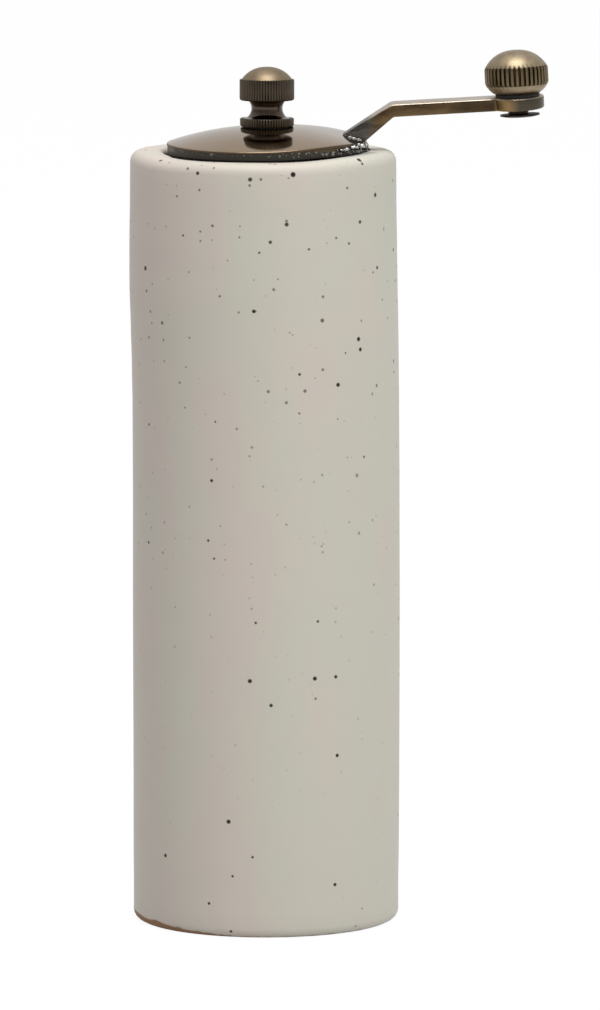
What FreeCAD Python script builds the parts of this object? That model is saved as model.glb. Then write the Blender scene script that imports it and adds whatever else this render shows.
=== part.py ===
"""Hand mill for seeds: a stoneware cylinder with a domed crank lid, a square drive
shaft down the middle and a ceramic cone mill in the base.

Millimetres, +Z up. The origin is the centre of the foot, on the surface that the mill
stands on. The crank points along +X.
"""
import FreeCAD, Part
import math
import os
from collections import namedtuple

# ---------------------------------------------------------------- clearances
RUN = 0.05             # radial, a turning or sliding fit
SEAT = 0.05            # radial, pieces pressed or glued together
LOOSE = 0.3            # between moving pieces that don't bear on each other

# ---------------------------------------------------------------- stoneware body
body_height = 183.4
body_diameter = 63.5
shoulder_round = 2.3
foot_round = 2.4
wall_lean = 0.9        # how far the thrown wall's top stands to the left of its mouth
foot_chamfer = 0.8     # inner edge of the foot ring
rim_width = 6.65       # wall round the mouth
mouth_round = 1.6
mouth_depth = 5.0      # down to the ledge that the collar lies on
mouth_ledge = 1.2      # width of that ledge
foot_width = 5.75      # wall round the bore that the mill sits in

# ---------------------------------------------------------------- lid and its bearing
collar_thickness = 2.0
collar_spigot_depth = 6.0
collar_wall = 1.1
gasket_wall = 1.15
gasket_height = 4.0
bearing_thickness = 2.1
bearing_step = 0.5     # how far the bearing ring lies inside the lid's rim
bearing_width = 4.4
lid_gap = 1.45         # all round, between the lid and the mouth
lid_rim_height = 2.75
lid_rim_round = 0.75
lid_lip = 0.8          # flat step from the rim to the foot of the dome
lid_dome_rise = 3.7
lid_wall = 1.2
skirt_wall = 1.2
skirt_depth = 8.1      # below the lid's rim
skirt_bead = 0.15
skirt_bead_height = 1.0
bush_wall = 2.0        # outside the corners of the shaft
bush_depth = 1.5       # below the lid's rim

# ---------------------------------------------------------------- finial nut
finial_washer_thickness = 0.34
finial_flange_diameter = 12.76
finial_flange_taper = 0.24 # radial, from the flange's top in to its foot
finial_flange_height = 1.95
finial_flange_slope = 0.35
finial_waist_foot_diameter = 8.7
finial_waist_diameter = 7.5
finial_waist_low = 2.2     # from the waist's foot up to its narrowest place
finial_waist_high = 1.4    # from there to its head
finial_waist_head_diameter = 9.2
finial_chamfer = 0.5
finial_band_diameter = 12.92
finial_band_height = 4.7
finial_dome_step = 0.5     # radial, from the band in to the dome
finial_dome_height = 3.1
finial_bore_depth = 10.4
knurl_pitch = 0.68
knurl_depth = 0.24

# ---------------------------------------------------------------- crank arm
arm_width = 6.6
arm_thickness = 3.2
arm_reach = 59.1       # axis of the mill to the middle of the round end
arm_end_diameter = 12.4
arm_slope_deg = 3.2    # of the outer run, upwards and outwards
arm_rise = 7.05        # across, from the edge of the lid's dome to the bend
arm_bend_height = 9.5       # above the top edge of the lid's rim
arm_root_length = 5.0      # of the soldered foot
arm_root_inset = 0.1       # between that foot and the edge of the dome
arm_bend_round = 1.6
arm_edge_round = 0.5
solder_width = 0.9
solder_height = 0.7

# ---------------------------------------------------------------- crank knob
knob_washer_width = 2.75
knob_washer_thickness = 0.25
knob_diameter = 15.0
knob_bevel_width = 2.4
knob_bevel_height = 3.0
knob_bevel_bulge = 0.3
knob_band_height = 3.55
knob_dome_step = 0.35
knob_dome_height = 3.8
reed_pitch = 1.18
reed_depth = 0.3
rivet_diameter = 4.8
rivet_head_width = 2.3 # radial, outside the shank
rivet_head_thickness = 0.9
rivet_play = 1.15      # free length under the arm
rivet_grip = 5.0       # length inside the knob

# ---------------------------------------------------------------- drive shaft
shaft_square = 5.0
shaft_thread_relief = 0.05 # radial, thread inside the flats
shaft_thread_height = 8.4  # inside the finial
shaft_shoulder_drop = 1.66 # from the top of the lid to the top of the square
shaft_end_chamfer = 0.5
shaft_stub_end = 0.5   # threaded end below the lock nut

# ---------------------------------------------------------------- mill in the base
mill_recess = 7.0      # foot to the underside of the retaining ring
mill_top_gap = 0.2     # housing to the ledge above it
sleeve_wall = 1.0
ring_height = 10.95
ring_diameter = 31.8
ring_tooth_depth = 1.2
ring_wall = 2.5        # behind the teeth, at the foot
ring_taper = 2.8       # radial, from the tooth tips at the foot in to those at the top
ring_tooth_count = 24
ring_twist_deg = -12.0
ring_seat_width = 2.4  # shoulder above the grinding ring
funnel_throat_height = 2.0
funnel_height = 5.0
funnel_edge = 0.2      # ledge that shows inside the bridge's ring
housing_lip = 1.5      # wall of the housing round the bridge
housing_lip_height = 4.85
grind_gap = 0.55       # radial, cone to ring, at the setting shown
cone_height = 11.5
cone_drop = 0.5        # how far the cone reaches below the ring
cone_band = 3.5        # length of the cone that runs parallel to the ring
cone_top_margin = 0.2  # radial, outside the spring seat
cone_tooth_depth = 1.1
cone_tooth_count = 14
cone_twist_deg = 60.0
retainer_thickness = 2.0
retainer_edge = 1.7    # radial, outside the screw holes
retainer_overlap = 2.7 # radial, under the grinding ring
retainer_screw_wall = 1.35 # between the grinding ring and the screw holes
retainer_screw_diameter = 3.0
retainer_screw_length = 8.0
screw_count = 3
bridge_ring_width = 3.4
bridge_thickness = 2.4
bridge_spoke_width = 3.2
bridge_hub_wall = 2.0  # outside the corners of the shaft
bridge_hub_rise = 1.6
bridge_hub_drop = 0.4
bridge_screw_diameter = 2.0
bridge_screw_length = 7.5
seat_thickness = 0.8
seat_margin = 0.8      # radial, outside the spring
spring_wire = 1.0
spring_clearance = 0.65    # radial, outside the corners of the shaft
spring_turns = 3.5
nut_across_flats = 8.0
nut_height = 4.0
nut_washer_margin = 1.0    # radial, outside the nut's flats
nut_washer_thickness = 0.8

# ---------------------------------------------------------------- derived radii and heights
body_r = body_diameter / 2
mouth_r = body_r - rim_width
chamber_r = mouth_r - mouth_ledge
base_bore_r = body_r - foot_width
ledge_z = body_height - mouth_depth

collar_top_z = ledge_z + collar_thickness
lid_z = collar_top_z + bearing_thickness       # underside of the lid's rim
lid_r = mouth_r - lid_gap
lid_edge_z = lid_z + lid_rim_height
dome_foot_r = lid_r - lid_lip
dome_radius = (dome_foot_r ** 2 + lid_dome_rise ** 2) / (2 * lid_dome_rise)
dome_centre_z = lid_edge_z + lid_dome_rise - dome_radius
landing_r = finial_flange_diameter / 2 + LOOSE
bearing_r = lid_r - bearing_step
skirt_r = bearing_r - bearing_width
arm_heel_x = dome_foot_r - arm_root_inset
arm_bend_reach = arm_heel_x + arm_rise

hole_half = shaft_square / 2 + RUN             # half of every square hole for the shaft
shaft_corner_r = shaft_square / math.sqrt(2)
thread_r = shaft_square / 2 - shaft_thread_relief

housing_z = mill_recess + retainer_thickness   # underside of the housing
ring_r = ring_diameter / 2
ring_top_z = housing_z + ring_height
funnel_z = ring_top_z + funnel_throat_height
bridge_z = funnel_z + funnel_height            # ledge that the bridge lies on
housing_top_z = bridge_z + housing_lip_height
base_bore_depth = housing_top_z + mill_top_gap
throat_r = ring_r - ring_seat_width
housing_r = base_bore_r - sleeve_wall - 2 * SEAT
bridge_r = housing_r - housing_lip - LOOSE
cone_z = housing_z - cone_drop
seat_z = cone_z + cone_height
spring_r = shaft_corner_r + spring_clearance + spring_wire / 2     # to the middle of the wire
seat_r = spring_r + spring_wire / 2 + seat_margin
cone_top_r = seat_r + cone_top_margin
ring_foot_r = ring_r - ring_wall - ring_tooth_depth
hub_z = bridge_z - bridge_hub_drop
bridge_screw_circle_r = bridge_r - bridge_ring_width / 2
retainer_hole_r = retainer_screw_diameter / 2 + SEAT
retainer_screw_circle_r = ring_r + retainer_screw_wall + retainer_hole_r
retainer_r = retainer_screw_circle_r + retainer_hole_r + retainer_edge
bridge_hole_r = bridge_screw_diameter / 2 + SEAT

Via = namedtuple("Via", "x z")
UP = FreeCAD.Vector(0, 0, 1)
ORIGIN = FreeCAD.Vector(0, 0, 0)


def dome_z(r, inset=0.0):
    """Height of the lid's dome at radius r, on its skin or inset below it."""
    return dome_centre_z + math.sqrt((dome_radius - inset) ** 2 - r ** 2)


landing_z = dome_z(landing_r)                  # flat that the finial's washer lies on
finial_z = landing_z + finial_washer_thickness


# ---------------------------------------------------------------- outlines and basic forms
def at(x, z):
    return FreeCAD.Vector(x, 0, z)


def rounded_corner(before, corner, after, radius):
    """Start, middle and end of the arc that rounds a corner of an outline."""
    to_before = (before - corner).normalize()
    to_after = (after - corner).normalize()
    half_angle = to_before.getAngle(to_after) / 2
    reach = radius / math.tan(half_angle)
    inwards = (to_before + to_after).normalize()
    middle = corner + inwards * (radius / math.sin(half_angle) - radius)
    return corner + to_before * reach, middle, corner + to_after * reach


def outline(*corners):
    """Closed wire in the XZ plane. A corner is (x, z), or (x, z, radius) where it is
    rounded. Via(x, z) between two corners bends the edge between them into an arc."""
    stops = []
    bends = {}
    for corner in corners:
        if isinstance(corner, Via):
            bends[len(stops) - 1] = at(*corner)
        else:
            stops.append(corner)
    points = [at(*stop[:2]) for stop in stops]
    count = len(points)
    starts = list(points)
    ends = list(points)
    edges = []
    for i, stop in enumerate(stops):
        if len(stop) == 3:
            arc = rounded_corner(points[i - 1], points[i], points[(i + 1) % count], stop[2])
            starts[i], middle, ends[i] = arc
            edges.append(Part.Arc(starts[i], middle, ends[i]).toShape())
    for i in range(count):
        start, end = ends[i], starts[(i + 1) % count]
        if i in bends:
            edges.append(Part.Arc(start, bends[i], end).toShape())
        else:
            edges.append(Part.LineSegment(start, end).toShape())
    return Part.Wire(Part.sortEdges(edges)[0])


def turned(*corners):
    """Solid turned about Z from an outline of radii and heights."""
    return Part.Face(outline(*corners)).revolve(ORIGIN, UP, 360)


def tube(inner_r, outer_r, low, high):
    return turned((inner_r, low), (outer_r, low), (outer_r, high), (inner_r, high))


def cylinder(r, low, high, x=0.0, y=0.0):
    return Part.makeCylinder(r, high - low, FreeCAD.Vector(x, y, low), UP)


def square_bar(half, low, high):
    corner = FreeCAD.Vector(-half, -half, low)
    return Part.makeBox(2 * half, 2 * half, high - low, corner)


def polar(r, degrees, z=0.0):
    angle = math.radians(degrees)
    return FreeCAD.Vector(r * math.cos(angle), r * math.sin(angle), z)


def around(count, r, first_deg=0.0):
    """Places of count things, evenly spaced on a circle."""
    return [polar(r, first_deg + 360 * i / count) for i in range(count)]


def pointed_teeth(tip_r, root_r, count, z, turn_deg=0.0):
    """Closed star outline of V-shaped teeth."""
    step = 360 / count
    points = []
    for i in range(count):
        points.append(polar(tip_r, turn_deg + i * step, z))
        points.append(polar(root_r, turn_deg + (i + 0.5) * step, z))
    return Part.makePolygon(points + points[:1])


def round_reeds(tip_r, root_r, count, z):
    """Closed outline of rounded reeds that meet in sharp valleys."""
    step = 360 / count
    edges = []
    for i in range(count):
        start = polar(root_r, (i - 0.5) * step, z)
        crest = polar(tip_r, i * step, z)
        end = polar(root_r, (i + 0.5) * step, z)
        edges.append(Part.Arc(start, crest, end).toShape())
    return Part.Wire(edges)


def cut_edge(blank, wire, outer_r, height):
    """Cuts the stretch of a turned blank above a toothed wire down to that wire."""
    low = wire.BoundBox.ZMin
    core = Part.Face(wire).extrude(UP * height)
    waste = cylinder(outer_r + knurl_depth, low, low + height).cut(core)
    return blank.cut(waste)


def pan_screw(place, head_z, diameter, length, head_up):
    """Pan-head screw. head_z is the face that the head bears on."""
    r = diameter / 2
    head_r = 1.75 * r
    head_height = 0.8 * diameter
    slot_width = 0.3 * diameter
    head = turned((0, 0), (head_r, 0), (head_r, head_height, head_height / 2), (0, head_height))
    shank = turned((0, 0), (0, -length), (r / 2, -length), (r, -length + r / 2), (r, 0))
    slot = Part.makeBox(2 * head_r, slot_width, head_height)
    slot.translate(FreeCAD.Vector(-head_r, -slot_width / 2, head_height / 2))
    screw = head.fuse(shank).cut(slot).removeSplitter()
    if not head_up:
        screw.rotate(ORIGIN, FreeCAD.Vector(1, 0, 0), 180)
    screw.translate(FreeCAD.Vector(place.x, place.y, head_z))
    return screw


# ---------------------------------------------------------------- body and lid seat
# share of the height, share of wall_lean: the wall stands nearly true up to two thirds
THROWN_WALL = ((0, 0.35), (0.1, 0.2), (0.4, 0.1), (0.6, 0.15), (0.7, 0.35), (0.8, 0.8), (0.88, 1), (1, 1))


def thrown_cylinder():
    """The outside of the body as the potter left it, with its shoulder and foot rounded."""
    rings = []
    for height, lean in THROWN_WALL:
        centre = at(-wall_lean * lean, height * body_height)
        rings.append(Part.Wire(Part.makeCircle(body_r, centre, UP)))
    wall = Part.makeLoft(rings, True, False)
    middle = body_height / 2
    rims = [edge for edge in wall.Edges if edge.BoundBox.ZLength < SEAT]
    wall = wall.makeFillet(shoulder_round, [rim for rim in rims if rim.BoundBox.ZMin > middle])
    rims = [edge for edge in wall.Edges if edge.BoundBox.ZMax < SEAT]
    return wall.makeFillet(foot_round, rims)


def stoneware_body():
    past = 1.0                                 # the hollow's blank runs past both ends
    round_mid = mouth_round * (1 - math.sqrt(0.5))
    hollow = turned(
        (0, -past),
        (base_bore_r + foot_chamfer + past, -past),
        (base_bore_r, foot_chamfer),
        (base_bore_r, base_bore_depth),
        (chamber_r, base_bore_depth),
        (chamber_r, ledge_z),
        (mouth_r, ledge_z),
        (mouth_r, body_height - mouth_round),
        Via(mouth_r + round_mid, body_height - round_mid),
        (mouth_r + mouth_round, body_height),
        (mouth_r + mouth_round, body_height + past),
        (0, body_height + past),
    )
    return thrown_cylinder().cut(hollow)


def spigot_r():
    return chamber_r - gasket_wall - 2 * SEAT


def mouth_collar():
    bore_r = skirt_r + LOOSE
    inner_r = spigot_r() - collar_wall
    return turned(
        (bore_r, ledge_z),
        (inner_r, ledge_z),
        (inner_r, ledge_z - collar_spigot_depth),
        (spigot_r(), ledge_z - collar_spigot_depth),
        (spigot_r(), ledge_z),
        (mouth_r - SEAT, ledge_z),
        (mouth_r - SEAT, collar_top_z),
        (bore_r, collar_top_z),
    )


def collar_gasket():
    middle_z = ledge_z - collar_spigot_depth / 2
    inner_r = spigot_r() + SEAT
    return tube(inner_r, inner_r + gasket_wall, middle_z - gasket_height / 2, middle_z + gasket_height / 2)


def lid_bearing_ring():
    return tube(skirt_r + RUN, bearing_r, collar_top_z, lid_z)


# ---------------------------------------------------------------- lid
def under_dome():
    """Everything inside the inner skin of the lid's dome."""
    return Part.makeSphere(dome_radius - lid_wall, at(0, dome_centre_z))


def crank_lid():
    inner_r = lid_r - lid_wall
    halfway_r = (landing_r + dome_foot_r) / 2
    shell = turned(
        (0, landing_z),
        (landing_r, landing_z),
        Via(halfway_r, dome_z(halfway_r)),
        (dome_foot_r, lid_edge_z),
        (lid_r, lid_edge_z, lid_rim_round),
        (lid_r, lid_z),
        (inner_r, lid_z),
        (inner_r, dome_z(inner_r, lid_wall)),
        Via(inner_r / 2, dome_z(inner_r / 2, lid_wall)),
        (0, dome_z(0, lid_wall)),
    )
    return shell.cut(square_bar(hole_half, lid_z, body_height + lid_edge_z))


def lid_skirt():
    foot_z = lid_z - skirt_depth
    bead_r = skirt_r + skirt_bead
    inner_r = skirt_r - skirt_wall
    wall = turned(
        (inner_r, foot_z),
        (bead_r, foot_z),
        (bead_r, foot_z + skirt_bead_height),
        (skirt_r, foot_z + skirt_bead_height + skirt_bead),
        (skirt_r, landing_z),
        (inner_r, landing_z),
    )
    return wall.common(under_dome())


def square_bush():
    bush_r = shaft_corner_r + bush_wall
    blank = cylinder(bush_r, lid_z - bush_depth, landing_z).common(under_dome())
    return blank.cut(square_bar(hole_half, lid_z - 2 * bush_depth, landing_z + lid_wall))


# ---------------------------------------------------------------- crank arm
ARM_DIRECTION = FreeCAD.Vector(
    math.cos(math.radians(arm_slope_deg)), 0, math.sin(math.radians(arm_slope_deg))
)
bend_z = lid_edge_z + arm_bend_height
end_z = bend_z + (arm_reach - arm_bend_reach) * math.tan(math.radians(arm_slope_deg))


def on_arm_end(shape):
    """Moves a shape made about Z onto the arm: the origin goes to the middle of the
    upper face of the round end, and Z to the axis of the knob."""
    shape.rotate(ORIGIN, FreeCAD.Vector(0, 1, 0), -arm_slope_deg)
    shape.translate(at(arm_reach, end_z))
    return shape


def dome_solid(extra=0.0):
    ball = Part.makeSphere(dome_radius + extra, at(0, dome_centre_z))
    ball.rotate(ORIGIN, UP, 180)               # its seam away from the arm
    return ball


def crank_arm(lid):
    heel_x = arm_heel_x
    toe_x = heel_x - arm_root_length
    sink = lid_wall                            # the blank's foot, trimmed to the dome below
    upright = arm_thickness / math.cos(math.radians(arm_slope_deg))
    bar = Part.Face(outline(
        (toe_x, dome_z(toe_x) + solder_height / 2),
        (arm_bend_reach, bend_z, arm_bend_round),
        (arm_reach, end_z),
        (arm_reach, end_z - upright),
        (arm_bend_reach, bend_z - upright, arm_bend_round / 2),
        (heel_x, dome_z(heel_x)),
        (heel_x - sink, dome_z(heel_x) - sink),
        (toe_x, dome_z(toe_x) - sink),
    )).extrude(FreeCAD.Vector(0, arm_width, 0))
    bar.translate(FreeCAD.Vector(0, -arm_width / 2, 0))
    long_edges = [
        edge for edge in bar.Edges
        if edge.BoundBox.YLength < SEAT
        and edge.BoundBox.XLength > arm_bend_round / 4
        and edge.BoundBox.XMax > heel_x + arm_edge_round
    ]
    bar = bar.makeFillet(arm_edge_round, long_edges)
    end_r = arm_end_diameter / 2
    end = on_arm_end(turned(
        (0, -arm_thickness),
        (end_r, -arm_thickness, arm_edge_round),
        (end_r, 0, arm_edge_round),
        (0, 0),
    ))
    hole = on_arm_end(cylinder(rivet_diameter / 2 + RUN, -2 * arm_thickness, arm_thickness))
    return bar.fuse(end).cut(hole).cut(dome_solid()).cut(lid).removeSplitter()


def arm_solder(arm):
    """Bead of solder round the foot of the arm, on the skin of the dome."""
    heel_x = arm_heel_x
    half = arm_width / 2 + solder_width
    toe_x = heel_x - arm_root_length - solder_width
    block = Part.makeBox(heel_x - toe_x, 2 * half, 4 * arm_thickness)
    block.translate(FreeCAD.Vector(toe_x, -half, dome_z(heel_x) - arm_thickness))
    block = block.makeFillet(solder_width, [
        edge for edge in block.Edges
        if edge.BoundBox.ZLength > arm_thickness and edge.BoundBox.XMax < heel_x - solder_width
    ])
    on_dome = cylinder(dome_foot_r, lid_z, landing_z)
    bead = block.common(on_dome).common(dome_solid(solder_height)).cut(dome_solid()).cut(arm)
    return max(bead.Solids, key=lambda solid: solid.Volume)


# ---------------------------------------------------------------- crank knob
def knob_washer():
    bore_r = rivet_diameter / 2 + RUN
    return on_arm_end(tube(bore_r, bore_r + knob_washer_width, 0, knob_washer_thickness))


def crank_knob():
    r = knob_diameter / 2
    foot_r = r - knob_bevel_width
    dome_r = r - knob_dome_step
    low = knob_washer_thickness
    band_low = low + knob_bevel_height
    band_high = band_low + knob_band_height
    top = band_high + knob_dome_height
    bevel_length = math.hypot(r - foot_r, knob_bevel_height)
    bevel = Via(
        (foot_r + r) / 2 + knob_bevel_bulge * knob_bevel_height / bevel_length,
        (low + band_low) / 2 - knob_bevel_bulge * (r - foot_r) / bevel_length,
    )
    ball_r = (dome_r ** 2 + knob_dome_height ** 2) / (2 * knob_dome_height)
    crown_z = top - ball_r + math.sqrt(ball_r ** 2 - (dome_r / 2) ** 2)
    blank = turned(
        (0, low),
        (foot_r, low),
        bevel,
        (r, band_low),
        (r, band_high),
        (dome_r, band_high),
        Via(dome_r / 2, crown_z),
        (0, top),
    )
    count = round(math.pi * knob_diameter / reed_pitch)
    reeds = round_reeds(r, r - reed_depth, count, low)
    knob = cut_edge(blank, reeds, r, knob_bevel_height + knob_band_height)
    bore = cylinder(rivet_diameter / 2 + SEAT, 0, low + rivet_grip + SEAT)
    return on_arm_end(knob.cut(bore))


def knob_rivet():
    r = rivet_diameter / 2
    head_r = r + rivet_head_width
    head_top = -arm_thickness - rivet_play
    head_low = head_top - rivet_head_thickness
    end = knob_washer_thickness + rivet_grip
    return on_arm_end(turned(
        (0, head_low),
        (head_r, head_low, rivet_head_thickness / 3),
        (head_r, head_top, rivet_head_thickness / 3),
        (r, head_top),
        (r, end),
        (0, end),
    ))


# ---------------------------------------------------------------- finial nut
def finial_washer():
    foot_r = finial_flange_diameter / 2 - finial_flange_taper
    return tube(thread_r + RUN, foot_r - LOOSE, landing_z, finial_z)


def adjusting_finial():
    flange_r = finial_flange_diameter / 2
    band_r = finial_band_diameter / 2
    dome_r = band_r - finial_dome_step
    flange_top = finial_z + finial_flange_height
    waist_foot = flange_top + finial_flange_slope
    waist_z = waist_foot + finial_waist_low
    waist_head = waist_z + finial_waist_high
    band_low = waist_head + finial_chamfer
    band_high = band_low + finial_band_height
    top = band_high + finial_dome_height
    ball_r = (dome_r ** 2 + finial_dome_height ** 2) / (2 * finial_dome_height)
    crown_z = top - ball_r + math.sqrt(ball_r ** 2 - (dome_r / 2) ** 2)
    blank = turned(
        (0, finial_z),
        (flange_r - finial_flange_taper, finial_z),
        (flange_r, flange_top),
        (finial_waist_foot_diameter / 2, waist_foot),
        Via(finial_waist_diameter / 2, waist_z),
        (finial_waist_head_diameter / 2, waist_head),
        (band_r, band_low),
        (band_r, band_high),
        (dome_r, band_high),
        Via(dome_r / 2, crown_z),
        (0, top),
    )
    count = round(math.pi * finial_band_diameter / knurl_pitch)
    band = pointed_teeth(band_r, band_r - knurl_depth, count, band_low - finial_chamfer)
    flange = pointed_teeth(flange_r, flange_r - knurl_depth, count, finial_z)
    finial = cut_edge(blank, band, band_r, finial_chamfer + finial_band_height)
    finial = cut_edge(finial, flange, flange_r, finial_flange_height)
    return finial.cut(cylinder(thread_r + RUN, finial_z, finial_z + finial_bore_depth))


# ---------------------------------------------------------------- drive shaft
def drive_shaft():
    shoulder_z = landing_z - shaft_shoulder_drop
    top = finial_z + shaft_thread_height
    low = cone_z - nut_washer_thickness - nut_height - shaft_stub_end
    square = square_bar(shaft_square / 2, cone_z, shoulder_z)
    thread = turned(
        (0, low),
        (thread_r - shaft_end_chamfer, low),
        (thread_r, low + shaft_end_chamfer),
        (thread_r, top - shaft_end_chamfer),
        (thread_r - shaft_end_chamfer, top),
        (0, top),
    )
    return square.fuse(thread).removeSplitter()


def nut_washer():
    washer_r = nut_across_flats / 2 + nut_washer_margin
    return tube(thread_r + SEAT, washer_r, cone_z - nut_washer_thickness, cone_z)


def lock_nut():
    top = cone_z - nut_washer_thickness
    low = top - nut_height
    corner_r = nut_across_flats / math.sqrt(3)
    bevel = corner_r - nut_across_flats / 2
    hexagon = Part.makePolygon([polar(corner_r, 60 * i, low) for i in range(7)])
    prism = Part.Face(hexagon).extrude(UP * nut_height)
    chamfered = turned(
        (0, low),
        (nut_across_flats / 2, low),
        (corner_r, low + bevel),
        (corner_r, top - bevel),
        (nut_across_flats / 2, top),
        (0, top),
    )
    return prism.common(chamfered).cut(cylinder(thread_r + SEAT, low, top))


# ---------------------------------------------------------------- burrs
def ring_tip_r(z):
    """Radius across the ring's tooth tips, which open downwards."""
    return ring_foot_r - ring_taper * (z - housing_z) / ring_height


def grinding_ring():
    blank = cylinder(ring_r, housing_z, ring_top_z)
    past = 1.0                                 # the bore's blank runs past both faces
    sections = []
    for z, turn in ((housing_z - past, 0.0), (ring_top_z + past, ring_twist_deg)):
        tip_r = ring_tip_r(z)
        sections.append(pointed_teeth(tip_r + ring_tooth_depth, tip_r, ring_tooth_count, z, turn))
    return blank.cut(Part.makeLoft(sections, True, True))


def grinding_cone():
    band_z = cone_z + cone_band
    top_z = cone_z + cone_height
    low_r = ring_tip_r(housing_z) - grind_gap
    band_r = ring_tip_r(band_z) - grind_gap
    turn_per_mm = cone_twist_deg / cone_height
    middle_z = (band_z + top_z) / 2
    middle_r = (band_r + cone_top_r) / 2
    sections = []
    for z, tip_r in ((cone_z, low_r), (band_z, band_r), (middle_z, middle_r), (top_z, cone_top_r)):
        turn = (z - cone_z) * turn_per_mm
        sections.append(pointed_teeth(tip_r, tip_r - cone_tooth_depth, cone_tooth_count, z, turn))
    cone = Part.makeLoft(sections, True, True)
    return cone.cut(square_bar(hole_half, cone_z - shaft_square, top_z + shaft_square))


def spring_seat():
    return tube(shaft_corner_r + RUN, seat_r, seat_z, seat_z + seat_thickness)


def thrust_spring():
    """Wire spring between the seat on the cone and the hub of the bridge."""
    wire_r = spring_wire / 2
    low = seat_z + seat_thickness + wire_r
    height = hub_z - wire_r - low
    helix = Part.makeHelix(height / spring_turns, height, spring_r)
    section = Part.Wire(Part.makeCircle(wire_r, at(spring_r, 0), FreeCAD.Vector(0, 1, 0)))
    spring = Part.Wire(helix.Edges).makePipeShell([section], True, True)
    spring.translate(UP * low)
    return spring


# ---------------------------------------------------------------- housing and bridge
def retainer_screw_places():
    return around(screw_count, retainer_screw_circle_r, 30)


def bridge_screw_places():
    return around(screw_count, bridge_screw_circle_r, 90)


def mill_housing():
    pocket_r = ring_r + SEAT
    lip_r = housing_r - housing_lip
    funnel_top_r = bridge_r - bridge_ring_width - funnel_edge
    body = turned(
        (pocket_r, housing_z),
        (housing_r, housing_z),
        (housing_r, housing_top_z),
        (lip_r, housing_top_z),
        (lip_r, bridge_z),
        (funnel_top_r, bridge_z),
        (throat_r, funnel_z),
        (throat_r, ring_top_z),
        (pocket_r, ring_top_z),
    )
    screw_depth = retainer_screw_length - retainer_thickness + LOOSE
    for place in retainer_screw_places():
        hole = cylinder(retainer_hole_r, housing_z, housing_z + screw_depth, place.x, place.y)
        body = body.cut(hole)
    screw_depth = bridge_screw_length - bridge_thickness + LOOSE
    for place in bridge_screw_places():
        hole = cylinder(bridge_hole_r, bridge_z - screw_depth, bridge_z, place.x, place.y)
        body = body.cut(hole)
    return body


def housing_sleeve():
    return tube(housing_r + SEAT, housing_r + SEAT + sleeve_wall, housing_z, housing_top_z)


def retaining_ring():
    ring = tube(ring_r - retainer_overlap, retainer_r, mill_recess, housing_z)
    for place in retainer_screw_places():
        hole = cylinder(retainer_hole_r, mill_recess, housing_z, place.x, place.y)
        ring = ring.cut(hole)
    return ring


def retainer_screws():
    return Part.makeCompound([
        pan_screw(place, mill_recess, retainer_screw_diameter, retainer_screw_length, False)
        for place in retainer_screw_places()
    ])


def shaft_bridge():
    hub_r = shaft_corner_r + bridge_hub_wall
    top = bridge_z + bridge_thickness
    bridge = tube(bridge_r - bridge_ring_width, bridge_r, bridge_z, top)
    bridge = bridge.fuse(cylinder(hub_r, hub_z, top + bridge_hub_rise))
    for place in bridge_screw_places():
        spoke = Part.makeBox(bridge_r - bridge_ring_width / 2, bridge_spoke_width, bridge_thickness)
        spoke.translate(FreeCAD.Vector(0, -bridge_spoke_width / 2, bridge_z))
        spoke.rotate(ORIGIN, UP, math.degrees(math.atan2(place.y, place.x)))
        bridge = bridge.fuse(spoke)
    bore = cylinder(shaft_corner_r + RUN, hub_z, top + bridge_hub_rise)
    bridge = bridge.cut(bore).removeSplitter()
    for place in bridge_screw_places():
        bridge = bridge.cut(cylinder(bridge_hole_r, bridge_z, top, place.x, place.y))
    return bridge


def bridge_screws():
    top = bridge_z + bridge_thickness
    return Part.makeCompound([
        pan_screw(place, top, bridge_screw_diameter, bridge_screw_length, True)
        for place in bridge_screw_places()
    ])


# ---------------------------------------------------------------- the nodes
def main():
    lid = crank_lid()
    arm = crank_arm(lid)
    nodes = {
        "stoneware_body": stoneware_body(),
        "mouth_collar": mouth_collar(),
        "collar_gasket": collar_gasket(),
        "mill_housing": mill_housing(),
        "housing_sleeve": housing_sleeve(),
        "grinding_ring": grinding_ring(),
        "retaining_ring": retaining_ring(),
        "retainer_screws": retainer_screws(),
        "shaft_bridge": shaft_bridge(),
        "bridge_screws": bridge_screws(),
        "thrust_spring": thrust_spring(),
        "spring_seat": spring_seat(),
        "drive_shaft": drive_shaft(),
        "grinding_cone": grinding_cone(),
        "nut_washer": nut_washer(),
        "lock_nut": lock_nut(),
        "lid_bearing_ring": lid_bearing_ring(),
        "crank_lid": lid,
        "lid_skirt": lid_skirt(),
        "square_bush": square_bush(),
        "crank_arm": arm,
        "arm_solder": arm_solder(arm),
        "knob_washer": knob_washer(),
        "crank_knob": crank_knob(),
        "knob_rivet": knob_rivet(),
        "finial_washer": finial_washer(),
        "adjusting_finial": adjusting_finial(),
    }
    os.makedirs("parts", exist_ok=True)
    for name, shape in nodes.items():
        shape.exportStep(f"parts/{name}.step")
        box = shape.BoundBox
        print(f"{name}: {len(shape.Solids)} solid, valid {shape.isValid()}, "
              f"{shape.Volume:.1f} mm3, z {box.ZMin:.2f} to {box.ZMax:.2f}")


main()
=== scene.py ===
# %% [markdown]
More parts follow.
